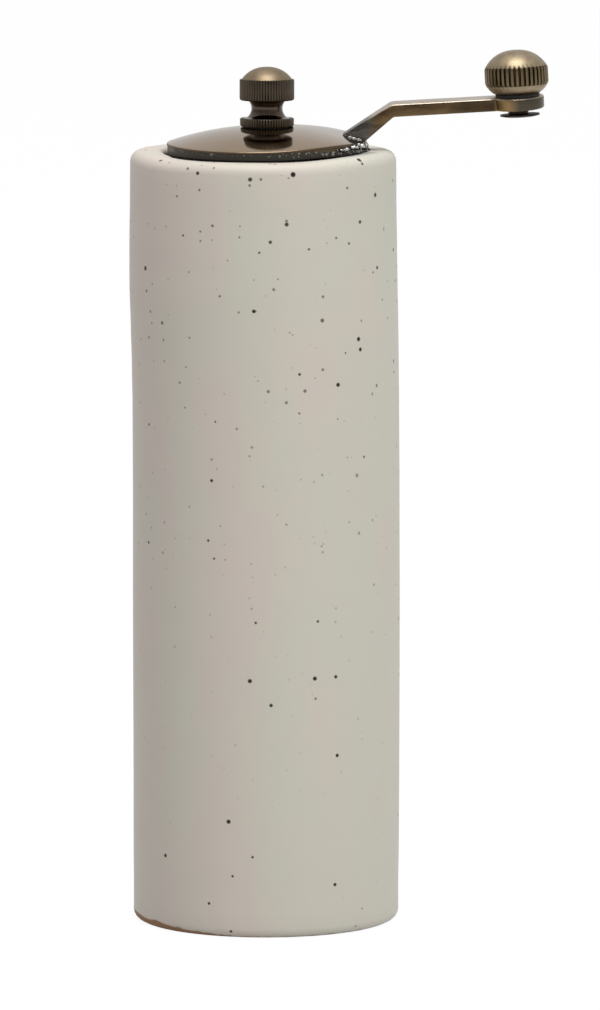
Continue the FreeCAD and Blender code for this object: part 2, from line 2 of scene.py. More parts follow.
# # A stoneware hand mill for sesame
# The mill is a tall, thick-walled cylinder of speckled stoneware with a domed brass lid
# in its mouth. A bent brass crank is soldered to the lid, and a knurled finial nut in the
# middle sets how fine it grinds. This lesson dresses the bare mechanical model: it builds
# the pieces that the eye rests on, and gives every piece the finish of its real material.
#
# The mechanical model is loaded first and stays fixed.

# %% Load the mechanical model
import math
import bmesh
import bpy
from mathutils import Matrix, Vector


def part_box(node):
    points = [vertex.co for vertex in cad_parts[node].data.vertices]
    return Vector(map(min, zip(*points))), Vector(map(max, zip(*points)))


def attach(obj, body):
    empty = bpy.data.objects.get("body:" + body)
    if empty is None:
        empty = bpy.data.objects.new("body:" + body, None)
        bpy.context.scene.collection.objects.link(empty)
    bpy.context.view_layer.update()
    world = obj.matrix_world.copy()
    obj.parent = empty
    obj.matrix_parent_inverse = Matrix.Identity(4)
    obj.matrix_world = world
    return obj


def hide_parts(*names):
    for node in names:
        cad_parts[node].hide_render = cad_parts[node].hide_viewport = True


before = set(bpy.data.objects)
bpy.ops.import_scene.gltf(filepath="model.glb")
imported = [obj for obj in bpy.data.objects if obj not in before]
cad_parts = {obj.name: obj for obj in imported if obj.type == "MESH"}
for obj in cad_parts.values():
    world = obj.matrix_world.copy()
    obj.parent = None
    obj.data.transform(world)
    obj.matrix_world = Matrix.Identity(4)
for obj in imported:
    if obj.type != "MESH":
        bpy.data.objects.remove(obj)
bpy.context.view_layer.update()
bpy.context.scene.view_settings.view_transform = "Standard"

# %% [markdown]
# ## The camera
# A tall, slim thing looks natural through a long lens from a few steps away, because its
# upright sides then stay parallel. The camera stands a little above the lid and looks
# slightly down, so that the dome of the lid shows as a shallow ellipse.

# %% Place the camera
MM = 0.001

bpy.ops.object.camera_add(location=(0.0078, -1.892, 0.329))
camera = bpy.context.object
aim = Vector((0.0078, 0, 0.0989)) - camera.location
camera.rotation_euler = aim.to_track_quat("-Z", "Y").to_euler()
camera.data.lens = 286.2
camera.data.sensor_width = 36
bpy.context.scene.camera = camera
print(f"camera looks down {math.degrees(math.atan2(-aim.z, aim.y)):.1f} degrees")

# %% [markdown]
# ## Colours and nodes
# Colours are written as the hex values that a paint program shows. Blender's shaders work
# on linear light, so one function converts them. A second function adds a node, with its
# own settings and with what goes into its sockets: a plain value, or another node's
# output, which is then linked.

# %% Helpers for materials
def colour(hex_code):
    """A hex colour as linear red, green, blue and alpha."""
    channels = [int(hex_code[i:i + 2], 16) / 255 for i in (1, 3, 5)]
    return (*[c / 12.92 if c < 0.04045 else ((c + 0.055) / 1.055) ** 2.4 for c in channels], 1)


# the sockets of the Mix node for colours, which has others of the same name
FACTOR, FIRST, SECOND, MIXED = 0, 6, 7, 2


def add_node(tree, kind, inputs=None, **settings):
    """Adds a shader node, sets it up and fills its sockets with values or links."""
    node = tree.nodes.new("ShaderNode" + kind)
    for name, value in settings.items():
        setattr(node, name, value)
    for name, value in (inputs or {}).items():
        if isinstance(value, bpy.types.Node):   # a whole node stands for its own first result
            colours = value.bl_idname == "ShaderNodeMix" and value.data_type == "RGBA"
            value = value.outputs[MIXED if colours else 0]
        if isinstance(value, bpy.types.NodeSocket):
            tree.links.new(value, node.inputs[name])
        else:
            node.inputs[name].default_value = value
    return node


def new_material(name, **values):
    """A material with its shader's constant values set, as (tree, shader)."""
    material = bpy.data.materials.new(name)
    material.use_nodes = True
    shader = material.node_tree.nodes["Principled BSDF"]
    for socket, value in values.items():
        shader.inputs[socket.replace("_", " ")].default_value = value
    return material.node_tree, shader


print("white is", colour("#FFFFFF"))

# %% [markdown]
# ## Studio
# The mill stands on a plain white sweep. The floor's white comes from its own glow, which
# only the camera and mirror-like surfaces see, and a share of real diffuse white under it
# keeps the mill's soft contact shadow. Nothing of that glow lights the mill.

# %% Lay the floor
bpy.ops.object.select_all(action="DESELECT")
bpy.ops.mesh.primitive_plane_add(size=24, location=(0, 0, 0))
floor = bpy.context.object
floor.name = "floor"
tree, shader = new_material("white sweep paper", Base_Color=colour("#A8A8A8"), Roughness=1.0)
shader.inputs["Specular IOR Level"].default_value = 0
seen = add_node(tree, "LightPath")
seen_straight = add_node(tree, "Math", {0: seen.outputs["Is Camera Ray"],
    1: seen.outputs["Is Glossy Ray"]}, operation="MAXIMUM")
seen_at_all = add_node(tree, "Math", {0: seen_straight,
    1: seen.outputs["Is Transmission Ray"]}, operation="MAXIMUM")
glow_share = add_node(tree, "Math", {0: seen_at_all, 1: 0.82}, operation="MULTIPLY")
glow = add_node(tree, "Emission", {"Strength": 1.15})
paper = add_node(tree, "MixShader", {0: glow_share, 1: shader, 2: glow})
tree.links.new(paper.outputs[0], tree.nodes["Material Output"].inputs["Surface"])
floor.data.materials.append(bpy.data.materials["white sweep paper"])
print("floor", floor.dimensions.x, "m wide")

# %% [markdown]
# The world is the rest of the studio. Behind the mill and above it is the bright sweep.
# The side that the camera stands on is darker and the left is a little darker than the
# right, which is what gives the turned brass its dark bands. The camera itself sees white
# in every direction.

# %% Light the room
world = bpy.data.worlds.new("studio")
bpy.context.scene.world = world
world.use_nodes = True
tree = world.node_tree
tree.nodes.clear()
direction = add_node(tree, "TexCoord")
axes = add_node(tree, "SeparateXYZ", {0: direction.outputs["Generated"]})
to_back = add_node(tree, "MapRange", {"Value": axes.outputs["Y"], 1: -0.7, 2: 0.4, 3: 0.6, 4: 1.05},
    interpolation_type="SMOOTHSTEP")
to_right = add_node(tree, "MapRange", {"Value": axes.outputs["X"], 1: -0.9, 2: 0.9, 3: 0.75, 4: 1.2})
to_top = add_node(tree, "MapRange", {"Value": axes.outputs["Z"], 1: 0.1, 2: 0.9, 3: 0.9, 4: 1.25})
aloft = add_node(tree, "MapRange", {"Value": axes.outputs["Z"], 1: 0.1, 2: 0.6})
sides = add_node(tree, "Mix", {0: aloft, 2: to_right, 3: 0.85})
room = add_node(tree, "Math", {0: to_back, 1: sides}, operation="MULTIPLY")
room_level = add_node(tree, "Math", {0: room, 1: to_top}, operation="MULTIPLY")
eye = add_node(tree, "LightPath")
seen_level = add_node(tree, "Mix", {0: eye.outputs["Is Camera Ray"], 2: room_level, 3: 1.0})
glow = add_node(tree, "Background", {"Strength": seen_level})
add_node(tree, "OutputWorld", {"Surface": glow})
print("world with", len(tree.nodes), "nodes")

# %% [markdown]
# Two soft panels do the modelling. One stands to the right of the camera and lights the
# mill's right side. It is kept out of the reflections, because its square would show in
# the turned brass. The other hangs almost straight overhead and puts the highlights low on
# the domes and into the finial's waist.

# %% Hang the lamps
def soft_panel(name, place, size, power):
    bpy.ops.object.light_add(type="AREA", location=place)
    lamp = bpy.context.object
    lamp.name = name
    lamp.data.size = size
    lamp.data.energy = power
    aim = Vector((0, 0, 0.11)) - lamp.location
    lamp.rotation_euler = aim.to_track_quat("-Z", "Y").to_euler()
    print(f"{name}: {size} m wide, {aim.length:.2f} m away, {power} W")


soft_panel("side panel", (0.9, -1.52, 0.4), 1.0, 11.7)
bpy.context.object.visible_glossy = False
soft_panel("overhead panel", (0.0, -0.36, 1.54), 0.85, 13.5)

# %% [markdown]
# ## Modelling by hand
# Most of this mill comes off a wheel or a lathe, so most of it is modelled the way a
# turner thinks: draw half of the outline, then spin it about the axis. A plane is merged
# into a single vertex, the vertex is extruded from stop to stop, and the corners that the
# real piece has broken are bevelled before the spin.

# %% Helpers for shaping
def begin(name):
    """A new mesh in edit mode, with one vertex at the origin, and nothing else selected."""
    bpy.ops.object.select_all(action="DESELECT")
    bpy.ops.mesh.primitive_plane_add(size=MM, location=(0, 0, 0))
    piece = bpy.context.object
    piece.name = name
    bpy.ops.object.mode_set(mode="EDIT")
    bpy.ops.mesh.merge(type="CENTER")
    return piece


def pick(piece, wanted):
    """In edit mode, selects each vertex for which wanted(its place in mm) is true."""
    mesh = bmesh.from_edit_mesh(piece.data)
    mesh.select_mode = {"VERT"}
    count = 0
    for vertex in mesh.verts:
        vertex.select = bool(wanted(vertex.co / MM))
        count += vertex.select
    mesh.select_flush_mode()
    bmesh.update_edit_mesh(piece.data)
    return count


def draw(piece, stops, closed=False):
    """Extrudes the first vertex along (x, z) or (x, z, rounding) in millimetres."""
    here = Vector((0, 0, 0))
    for number, stop in enumerate(stops):
        there = Vector((stop[0], 0, stop[1])) * MM
        if number == 0:
            bpy.ops.transform.translate(value=there)
        else:
            bpy.ops.mesh.extrude_region_move(TRANSFORM_OT_translate={"value": there - here})
        here = there
    if closed:
        pick(piece, lambda at: (at - Vector((stops[0][0], 0, stops[0][1]))).length < 1e-3
             or (at - here / MM).length < 1e-3)
        bpy.ops.mesh.edge_face_add()
    for x, z, rounding in [stop for stop in stops if len(stop) == 3]:
        pick(piece, lambda at: (at - Vector((x, 0, z))).length < 1e-3)
        bpy.ops.mesh.bevel(offset=rounding * MM, segments=5, affect="VERTICES")


def done(piece, angle=35):
    """Closes doubles, turns the faces outwards and leaves edit mode with smooth shading."""
    bpy.ops.mesh.select_all(action="SELECT")
    bpy.ops.mesh.remove_doubles(threshold=1e-6)
    bpy.ops.mesh.normals_make_consistent(inside=False)
    bpy.ops.object.mode_set(mode="OBJECT")
    bpy.ops.object.shade_smooth_by_angle(angle=math.radians(angle))
    print(f"{piece.name}: {len(piece.data.polygons)} faces, "
          f"{' x '.join(f'{side / MM:.1f}' for side in piece.dimensions)} mm")
    return piece


def spin(piece, steps):
    bpy.ops.mesh.select_all(action="SELECT")
    bpy.ops.mesh.spin(steps=steps, angle=math.tau, center=(0, 0, 0), axis=(0, 0, 1))


def bowed(start, end, rise, count):
    """Stops on an arc from start to end that bulges by rise to the left of the way."""
    start, end = Vector(start), Vector(end)
    chord = end - start
    radius = (chord.length ** 2 / 4 + rise ** 2) / (2 * abs(rise))
    side = Vector((-chord.y, chord.x)).normalized() * (1 if rise > 0 else -1)
    centre = (start + end) / 2 + side * (abs(rise) - radius)
    half = math.asin(chord.length / 2 / radius)
    along = chord.normalized()
    stops = []
    for i in range(count + 1):
        turn = half * (2 * i / count - 1)
        stops.append(tuple(centre + side * radius * math.cos(turn) + along * radius * math.sin(turn)))
    return stops


# %% [markdown]
# ## Stoneware body
# The real body is thrown on a wheel, so it is round but never perfect: the wall sways by
# a few tenths of a millimetre and leans to the left near the top, and the rim dips where
# the potter's thumb rested on it. The outline is drawn with its wall cut into many short
# lengths and spun, and each ring of the outer wall is then pushed aside and swelled a
# little. Proportional editing makes the dip: it moves the chosen vertices all the way and
# their neighbours less and less.

# %% Throw the cylinder
BODY_R, BODY_TOP = 31.68, 183.4
MOUTH_R, LEDGE, CHAMBER_R = 25.1, 178.4, 23.9
BORE_R, BORE_TOP = 26.0, 32.0

body = begin("thrown_body")
draw(body, [(BORE_R + 0.8, 0), (BODY_R, 0, 2.2), (BODY_R, BODY_TOP, 2.6), (MOUTH_R, BODY_TOP, 1.4),
            (MOUTH_R, LEDGE), (CHAMBER_R, LEDGE), (CHAMBER_R, BORE_TOP), (BORE_R, BORE_TOP),
            (BORE_R, 0.8)], closed=True)
pick(body, lambda at: at.x > BODY_R - 0.05 and 2 < at.z < BODY_TOP - 1)
bpy.ops.mesh.subdivide(number_cuts=56)
spin(body, 192)

# %% Let the wall sway
# height, push to the side, swell
SWAY = [(0, -0.31, -0.12), (9, -0.3, -0.12), (18, -0.25, -0.03), (37, -0.2, 0.0), (75, -0.2, 0.04),
        (104, -0.22, -0.04), (123, -0.3, -0.08), (133, -0.42, -0.06), (142, -0.6, 0.0),
        (152, -0.83, 0.04), (161, -0.9, -0.04), (173, -0.9, -0.2), (184, -0.9, -0.28)]


def sway_at(height):
    for (low, push, swell), (high, next_push, next_swell) in zip(SWAY, SWAY[1:]):
        if height <= high:
            share = (height - low) / (high - low)
            ease = 3 * share ** 2 - 2 * share ** 3
            return push + (next_push - push) * ease, swell + (next_swell - swell) * ease


def outside(at):
    return at.xy.length > BORE_R + 0.9 or at.z > BODY_TOP - 0.05


mesh = bmesh.from_edit_mesh(body.data)
heights = sorted({round(vertex.co.z / MM, 2) for vertex in mesh.verts if outside(vertex.co / MM)})
for height in heights:
    push, swell = sway_at(height)
    pick(body, lambda at: outside(at) and abs(at.z - height) < 0.006)
    bpy.ops.transform.resize(value=(1 + swell / BODY_R, 1 + swell / BODY_R, 1), center_override=(0, 0, 0))
    bpy.ops.transform.translate(value=(push * MM, 0, 0))

# %% Press the rim down in front
def ease_down(piece, wanted, move, reach):
    """Moves the wanted vertices by move and lets the ones within reach follow, in mm."""
    print("eased", pick(piece, wanted), "vertices")
    bpy.ops.transform.translate(value=Vector(move) * MM, use_proportional_edit=True,
                                proportional_edit_falloff="SMOOTH", proportional_size=reach * MM)


ease_down(body, lambda at: at.z > BODY_TOP - 0.3 and at.y < -22 and at.x < 4, (0, 0, -1.05), 26)
ease_down(body, lambda at: at.x < -24 and 182 < at.z and at.xy.length < 26.3, (0.75, 0, 0), 5)
ease_down(body, lambda at: at.x > 24 and 182 < at.z and at.xy.length < 26.3, (-0.85, 0, 0), 4)
done(body, 40)

# %% [markdown]
# ### Speckled glaze
# The glaze is a matte, milky cream over an iron-bearing clay. In the kiln the iron grains
# melt through as brown to black dots, from pin pricks to more than a millimetre across.
# Cells of a 3-D Voronoi pattern scatter them: a ball sits in some of the cells, and the
# wall slices through the balls, so that the dots come out in all sizes as real ones do.
# Towards the foot fewer cells hold a ball, as on this pot. No dot is placed one at a time:
# the pattern alone decides where they are, on the front as on the back.

# %% Mix the glaze
tree, shader = new_material("matte speckled stoneware glaze", Roughness=0.5)
place = add_node(tree, "TexCoord").outputs["Object"]
axes = add_node(tree, "SeparateXYZ", {0: place}).outputs
height = axes["Z"]
lower_down = add_node(tree, "MapRange", {"Value": height, 1: 0.165, 2: 0.02, 3: 0.0, 4: 0.2})


def specks(cell_mm, radius_mm, share, seed):
    """Mask of dots: balls of up to radius_mm in that share of the cells, fewer near the foot."""
    moved = add_node(tree, "Mapping", {"Vector": place, "Location": seed})
    cells = add_node(tree, "TexVoronoi", {"Vector": moved, "Scale": 1 / (cell_mm * MM),
        "Randomness": 0.9})
    pick_cell = add_node(tree, "SeparateColor", {0: cells.outputs["Color"]})
    rarer = add_node(tree, "Math", {0: pick_cell.outputs["Red"], 1: lower_down}, operation="ADD")
    chosen = add_node(tree, "MapRange", {"Value": rarer, 1: 0.0, 2: share, 3: radius_mm / cell_mm, 4: 0.0})
    inside = add_node(tree, "Math", {0: chosen, 1: cells.outputs["Distance"]}, operation="SUBTRACT")
    return add_node(tree, "MapRange", {"Value": inside, 1: -0.1 / cell_mm, 2: 0.1 / cell_mm})


pricks = specks(2.9, 0.4, 0.9, (0.013, 0.007, 0.002))
grains = specks(4.2, 0.52, 0.9, (0.004, 0.011, 0.006))
blots = specks(5.0, 0.66, 0.85, (0.004, 0.011, 0.006))
print("scattered grains:", len(tree.nodes), "nodes")

# %% [markdown]
# The glaze itself isn't one colour. Where it lies thin the clay warms it to a faint pink,
# and where it pooled it turns a little green, in patches a few centimetres wide. They
# change faster round the pot than up it, because the glaze ran down before it froze.
# Over that, a painted tint of the side light makes the left of the pot pinker and the
# right greener.

# %% Tint the glaze
run_down = add_node(tree, "Mapping", {"Vector": place, "Scale": (1.0, 1.0, 0.35)})
cloud = add_node(tree, "TexNoise", {"Vector": run_down, "Scale": 75.0, "Detail": 2.0}).outputs["Fac"]
# painted light: the left is tinted pinker and the right greener, a painted tint of the light from the sides
painted_side_tint = add_node(tree, "MapRange", {"Value": axes["X"], 1: -0.032, 2: 0.032, 3: -0.17, 4: 0.17})
pooling_and_side_tint = add_node(tree, "Math", {0: cloud, 1: painted_side_tint}, operation="ADD")
glaze_depth_and_side_tint = add_node(tree, "MapRange", {"Value": pooling_and_side_tint, 1: 0.22, 2: 0.78}, interpolation_type="SMOOTHSTEP")
body_tone = add_node(tree, "Mix", {FACTOR: glaze_depth_and_side_tint, FIRST: colour("#CBC0B6"), SECOND: colour("#C6C4B6")},
    data_type="RGBA")
crowd = add_node(tree, "MapRange", {"Value": height, 1: 0.03, 2: 0.175, 3: 0.12, 4: 1.05})
prick_mask = add_node(tree, "Math", {0: pricks, 1: crowd}, operation="MULTIPLY")
pricked = add_node(tree, "Mix", {FACTOR: prick_mask, FIRST: body_tone,
    SECOND: colour("#6B5D4A")}, data_type="RGBA")
grain_mask = add_node(tree, "Math", {0: grains, 1: crowd}, operation="MULTIPLY")
grained = add_node(tree, "Mix", {FACTOR: grain_mask, FIRST: pricked,
    SECOND: colour("#3B3026")}, data_type="RGBA")
dotted = add_node(tree, "Mix", {FACTOR: blots, FIRST: grained, SECOND: colour("#0C0704")},
    data_type="RGBA")
print("glaze so far:", len(tree.nodes), "nodes")

# %% [markdown]
# On the right, inside the mouth, lies a grey smear on the clay, two centimetres long: partly
# metal that the lid has scraped off, partly painted shade under the lid's edge. A Mapping
# node stretches the smear along the rim.

# %% Smear metal and painted shade in the mouth
rub_and_shade_place = add_node(tree, "Mapping", {"Vector": place, "Location": (0.0221, -0.0122, 0.183),
"Rotation": (0, 0, math.radians(61)),
                                         "Scale": (0.0088, 0.0022, 0.0016)}, vector_type="TEXTURE").outputs[0]
rub_and_shade_far = add_node(tree, "VectorMath", {0: rub_and_shade_place}, operation="LENGTH").outputs["Value"]
rub_and_shade_noise = add_node(tree, "TexNoise", {"Vector": place, "Scale": 700.0, "Detail": 3.0}).outputs["Fac"]
rub_and_shade_edge = add_node(tree, "Math", {0: rub_and_shade_noise, 1: 0.9, 2: rub_and_shade_far}, operation="MULTIPLY_ADD")
# the grey smear is partly metal rubbed off the lid and partly painted shade under the lid's edge
rub_and_shade_mask = add_node(tree, "MapRange", {"Value": rub_and_shade_edge, 1: 1.5, 2: 1.1, 3: 0.0, 4: 0.8})
rubbed_and_shaded = add_node(tree, "Mix", {FACTOR: rub_and_shade_mask, FIRST: dotted,
    SECOND: colour("#8A8883")}, data_type="RGBA")
print("metal smear: 18 mm long")

# %% [markdown]
# The glaze is wiped off the foot so that it doesn't stick to the kiln shelf. There the bare
# clay shows in a warm brown, up to a ragged line. Fine rings from the potter's fingers and a
# faint orange peel roughen the surface.

# %% Wipe the foot and add the throwing rings
wiped_to = add_node(tree, "MapRange", {"Value": axes["X"], 1: -0.031, 2: -0.008, 3: 0.0023, 4: 0.0002})
ragged = add_node(tree, "TexNoise", {"Vector": place, "Scale": 320.0, "Detail": 2.0})
wander = add_node(tree, "MapRange", {"Value": ragged.outputs["Fac"], 1: 0.3, 2: 0.7, 3: -0.0003, 4: 0.0003})
line = add_node(tree, "Math", {0: wiped_to, 1: wander}, operation="ADD")
below = add_node(tree, "Math", {0: line, 1: height}, operation="SUBTRACT")
bare = add_node(tree, "MapRange", {"Value": below, 1: -0.0002, 2: 0.0001})
clay = add_node(tree, "Mix", {FACTOR: cloud, FIRST: colour("#8A6247"), SECOND: colour("#A98664")},
    data_type="RGBA")
finished = add_node(tree, "Mix", {FACTOR: bare, FIRST: rubbed_and_shaded, SECOND: clay}, data_type="RGBA")
tree.links.new(finished.outputs[MIXED], shader.inputs["Base Color"])
dull = add_node(tree, "MapRange", {"Value": bare, 3: 0.5, 4: 0.85})
tree.links.new(dull.outputs[0], shader.inputs["Roughness"])
squeezed = add_node(tree, "Mapping", {"Vector": place, "Scale": (0.04, 0.04, 1.0)})
rings = add_node(tree, "TexNoise", {"Vector": squeezed, "Scale": 330.0, "Detail": 3.0})
peel = add_node(tree, "TexNoise", {"Vector": place, "Scale": 900.0, "Detail": 2.0})
ringed = add_node(tree, "Bump", {"Height": rings.outputs["Fac"], "Strength": 0.35, "Distance": 0.0002})
peeled = add_node(tree, "Bump", {"Height": peel.outputs["Fac"], "Normal": ringed,
    "Strength": 0.2, "Distance": 0.0001})
tree.links.new(peeled.outputs[0], shader.inputs["Normal"])
body.data.materials.append(bpy.data.materials["matte speckled stoneware glaze"])
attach(body, "root")
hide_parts("stoneware_body")
print("glaze:", len(tree.nodes), "nodes")

# %% [markdown]
# ## Brass lid
# The lid is pressed from sheet brass: a shallow dome with a flat landing in the middle,
# where the finial bears, and a small flat lip round the edge. It is polished and then
# darkened in a patina bath, so it mirrors the finial in a warm grey-brown. The dome is
# part of a large ball, and its stops are worked out from that ball's radius.

# %% Spin the lid
LID_R, LID_FOOT, LID_EDGE = 23.65, 182.5, 185.4
DOME_R, DOME_RISE, LANDING_R = 22.85, 3.7, 6.68
DOME_RADIUS = (DOME_R ** 2 + DOME_RISE ** 2) / (2 * DOME_RISE)
DOME_CENTRE = LID_EDGE + DOME_RISE - DOME_RADIUS


def dome_z(radius, inset=0.0):
    return DOME_CENTRE + math.sqrt((DOME_RADIUS - inset) ** 2 - radius ** 2)


lid = begin("domed_lid")
dome = []
for i in range(25):
    radius = LANDING_R + (DOME_R - LANDING_R) * i / 24
    dome.append((radius, dome_z(radius)))
under = [(22.4 - 22.4 * i / 10, dome_z(22.4 - 22.4 * i / 10, 1.2)) for i in range(11)]
draw(lid, [(0, dome_z(LANDING_R))] + dome
     + [(23.3, 185.25), (23.56, 185.13, 0.08), (LID_R, 184.95), (LID_R, 184.6), (LID_R - 0.14, 184.5),
     (LID_R - 0.12, LID_FOOT + 0.1),
        (LID_R - 0.2, LID_FOOT), (23.2, LID_FOOT), (22.4, LID_FOOT + 0.02)] + under)
spin(lid, 192)

# %% [markdown]
# The heat of the soldering has warped the lid: it leans forwards a little, and its right
# side is drawn up by more than a millimetre. A lattice is a cage of points round a piece,
# and the piece follows when the points move. It bends the whole sheet evenly, which no
# moving of single vertices would on a polished surface. The lower layer of points is only
# raised where the foot of the lid has lost touch with its bearing.

# %% Warp the sheet
# lifts in mm, from the front row to the back row, each from the left to the right
LIFTS = ((-0.9, -0.85, -0.75, -0.5, 0.6, 1.6), (-0.35, -0.3, -0.3, -0.2, 0.2, 1.0), (0, 0, 0, 0, -0.1, -0.1),
         (0.25, 0.2, 0.2, 0.55, 1.7, 1.8), (0.5, 0.4, 0.4, 0.7, 1.7, 1.8))


def warp(piece, foot_too=False):
    """Lifts the piece by a cage of LIFTS about the lid, 48 mm wide and 50 mm deep."""
    bpy.ops.object.select_all(action="DESELECT")
    bpy.ops.object.add(type="LATTICE", location=(0, 0, 0.1838))
    cage = bpy.context.object
    cage.scale = (0.048, 0.05, 0.0026)
    rows, columns = len(LIFTS), len(LIFTS[0])
    cage.data.points_u = columns
    cage.data.points_v = rows
    cage.data.interpolation_type_w = "KEY_LINEAR"
    for number, point in enumerate(cage.data.points):
        lift = LIFTS[number // columns % rows][number % columns]
        if number < rows * columns and not foot_too:
            lift = min(max(lift, 0), 0.9)
        point.co_deform.z += lift * MM / cage.scale.z
    bpy.context.view_layer.update()
    bend = piece.modifiers.new("bend", "LATTICE")
    bend.object = cage
    bpy.ops.object.select_all(action="DESELECT")
    bpy.context.view_layer.objects.active = piece
    piece.select_set(True)
    bpy.ops.object.modifier_apply(modifier="bend")
    bpy.data.objects.remove(cage, do_unlink=True)
    print(f"{piece.name}: warped by up to {max(map(max, LIFTS))} mm")


done(lid, 30)
warp(lid)

# %% [markdown]
# The shaft comes up through a square hole. A square bar of the same size is modelled as the
# cutter, and a Boolean modifier takes it away from the lid, as a broach would.

# %% Broach the square hole
def cut(piece, cutter):
    """Takes the cutter's shape away from the piece and deletes the cutter."""
    bpy.ops.object.select_all(action="DESELECT")
    bpy.context.view_layer.objects.active = piece
    piece.select_set(True)
    away = piece.modifiers.new("cut", "BOOLEAN")
    away.operation = "DIFFERENCE"
    away.solver = "EXACT"
    away.object = cutter
    bpy.ops.object.modifier_apply(modifier="cut")
    bpy.data.objects.remove(cutter, do_unlink=True)
    print(f"{piece.name}: cut, now {len(piece.data.polygons)} faces")


bpy.ops.object.select_all(action="DESELECT")
bpy.ops.mesh.primitive_cube_add(size=1, location=(0, 0, 0.187))
broach = bpy.context.object
broach.scale = (0.0051, 0.0051, 0.008)
cut(lid, broach)
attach(lid, "crank")
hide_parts("crank_lid")

# %% [markdown]
# ### Patina on polished brass
# Brass is a mirror with a yellow tint. The bath lays a thin brown-grey skin of oxide over
# it, which darkens the mirror and takes most of the yellow away, and leaves the polish.
# The skin is never quite even, so a slow noise shifts it between two tones. The edge band
# is darker: a brown lip over a dark grey foot, flecked with spatter from the soldering. The
# flecks fade towards the bottom, which is painted shadow.

# %% Darken the lid
tree, shader = new_material("polished brass, patinated", Metallic=1.0, Roughness=0.15)
place = add_node(tree, "TexCoord").outputs["Object"]
drift = add_node(tree, "TexNoise", {"Vector": place, "Scale": 70.0, "Detail": 4.0}).outputs["Fac"]
tone = add_node(tree, "Mix", {FACTOR: drift, FIRST: colour("#907B64"), SECOND: colour("#9F8A71")},
    data_type="RGBA")
facing = add_node(tree, "SeparateXYZ", {0: add_node(tree, "NewGeometry").outputs["Normal"]}).outputs["Z"]
band = add_node(tree, "MapRange", {"Value": facing, 1: 0.8, 2: 0.5}).outputs[0]
flat = add_node(tree, "VectorMath", {0: place, 1: (1, 1, 0)}, operation="MULTIPLY")
reach = add_node(tree, "VectorMath", {0: flat}, operation="LENGTH").outputs["Value"]
stepped = add_node(tree, "MapRange", {"Value": reach, 1: 0.02361, 2: 0.02356})
clumps = add_node(tree, "TexNoise", {"Vector": place, "Scale": 150.0}).outputs["Fac"]
flakes = add_node(tree, "TexNoise", {"Vector": place, "Scale": 1500.0, "Detail": 2.0}).outputs["Fac"]
crowded = add_node(tree, "Math", {0: clumps, 1: 0.35, 2: flakes}, operation="MULTIPLY_ADD")
apart = add_node(tree, "SeparateXYZ", {0: place})
hot_side = add_node(tree, "MapRange", {"Value": apart.outputs["X"], 1: 0.0, 2: 0.015, 3: 0.0, 4: 0.03})
# painted shadow: fewer pale flecks towards the bottom of the edge, so the foot reads darker
painted_shadow_low = add_node(tree, "MapRange", {"Value": apart.outputs["Z"], 1: 0.1835, 2: 0.1827, 3: 0.0, 4: 0.3})
spatter_side_and_shadow = add_node(tree, "Math", {0: hot_side, 1: painted_shadow_low}, operation="SUBTRACT")
spatter_and_shadow_level = add_node(tree, "Math", {0: crowded, 1: spatter_side_and_shadow}, operation="ADD")
spatter_and_shadow_mask = add_node(tree, "MapRange", {"Value": spatter_and_shadow_level, 1: 0.73, 2: 0.9})
# towards the crank the brown runs further down before the dark grey foot starts
rightward = add_node(tree, "MapRange", {"Value": apart.outputs["X"], 1: 0.005, 2: 0.012})
upper = add_node(tree, "MapRange", {"Value": apart.outputs["Z"], 1: 0.1842, 2: 0.1845})
kept_brown = add_node(tree, "Math", {0: rightward, 1: upper}, operation="MULTIPLY")
stepped = add_node(tree, "Math", {0: stepped, 1: kept_brown}, operation="SUBTRACT", use_clamp=True)
foot_tone = add_node(tree, "Mix", {FACTOR: spatter_and_shadow_mask, FIRST: colour("#4B4843"), SECOND: colour("#AFACA4")},
    data_type="RGBA")
edge_tone = add_node(tree, "Mix", {FACTOR: stepped, FIRST: colour("#655747"), SECOND: foot_tone},
    data_type="RGBA")
mixed = add_node(tree, "Mix", {FACTOR: band, FIRST: tone, SECOND: edge_tone}, data_type="RGBA")
tree.links.new(mixed.outputs[MIXED], shader.inputs["Base Color"])
smear = add_node(tree, "TexNoise", {"Vector": place, "Scale": 260.0, "Detail": 5.0}).outputs["Fac"]
polish = add_node(tree, "MapRange", {"Value": smear, 1: 0.3, 2: 0.7, 3: 0.07, 4: 0.12}).outputs[0]
rough = add_node(tree, "Mix", {0: band, 2: polish, 3: 0.45})
tree.links.new(rough.outputs[0], shader.inputs["Roughness"])
lid.data.materials.append(bpy.data.materials["polished brass, patinated"])
print("lid brass:", len(tree.nodes), "nodes")

# %% [markdown]
# ## Knurled nuts
# The finial nut and the crank knob are both turned from brass bar, and both have a band
# cut with grooves so that they can be gripped. The blank is spun with a whole number of
# steps for each groove. The steps that lie in a groove are then pushed inwards ring by
# ring to the groove's depth, which also runs the grooves out into the dome above, as a
# milling cutter does.

# %% Helper for grooves
def press_grooves(piece, steps, per_groove, in_groove, low, high, valley):
    """Pushes the groove's steps in to the valley radius between two heights, in mm."""
    mesh = bmesh.from_edit_mesh(piece.data)
    rings = set()
    for vertex in mesh.verts:
        at = vertex.co / MM
        if low < at.z < high and at.xy.length > valley + 0.01:
            rings.add((round(at.z, 2), round(at.xy.length, 2)))
    step = math.tau / steps
    for height, radius in rings:
        pick(piece, lambda at: abs(at.z - height) < 0.01 and abs(at.xy.length - radius) < 0.01
             and round(math.atan2(at.y, at.x) / step) % per_groove in in_groove)
        bpy.ops.transform.resize(value=(valley / radius, valley / radius, 1), center_override=(0, 0, 0))
    print(f"{piece.name}: {steps // per_groove} grooves over {len(rings)} rings")


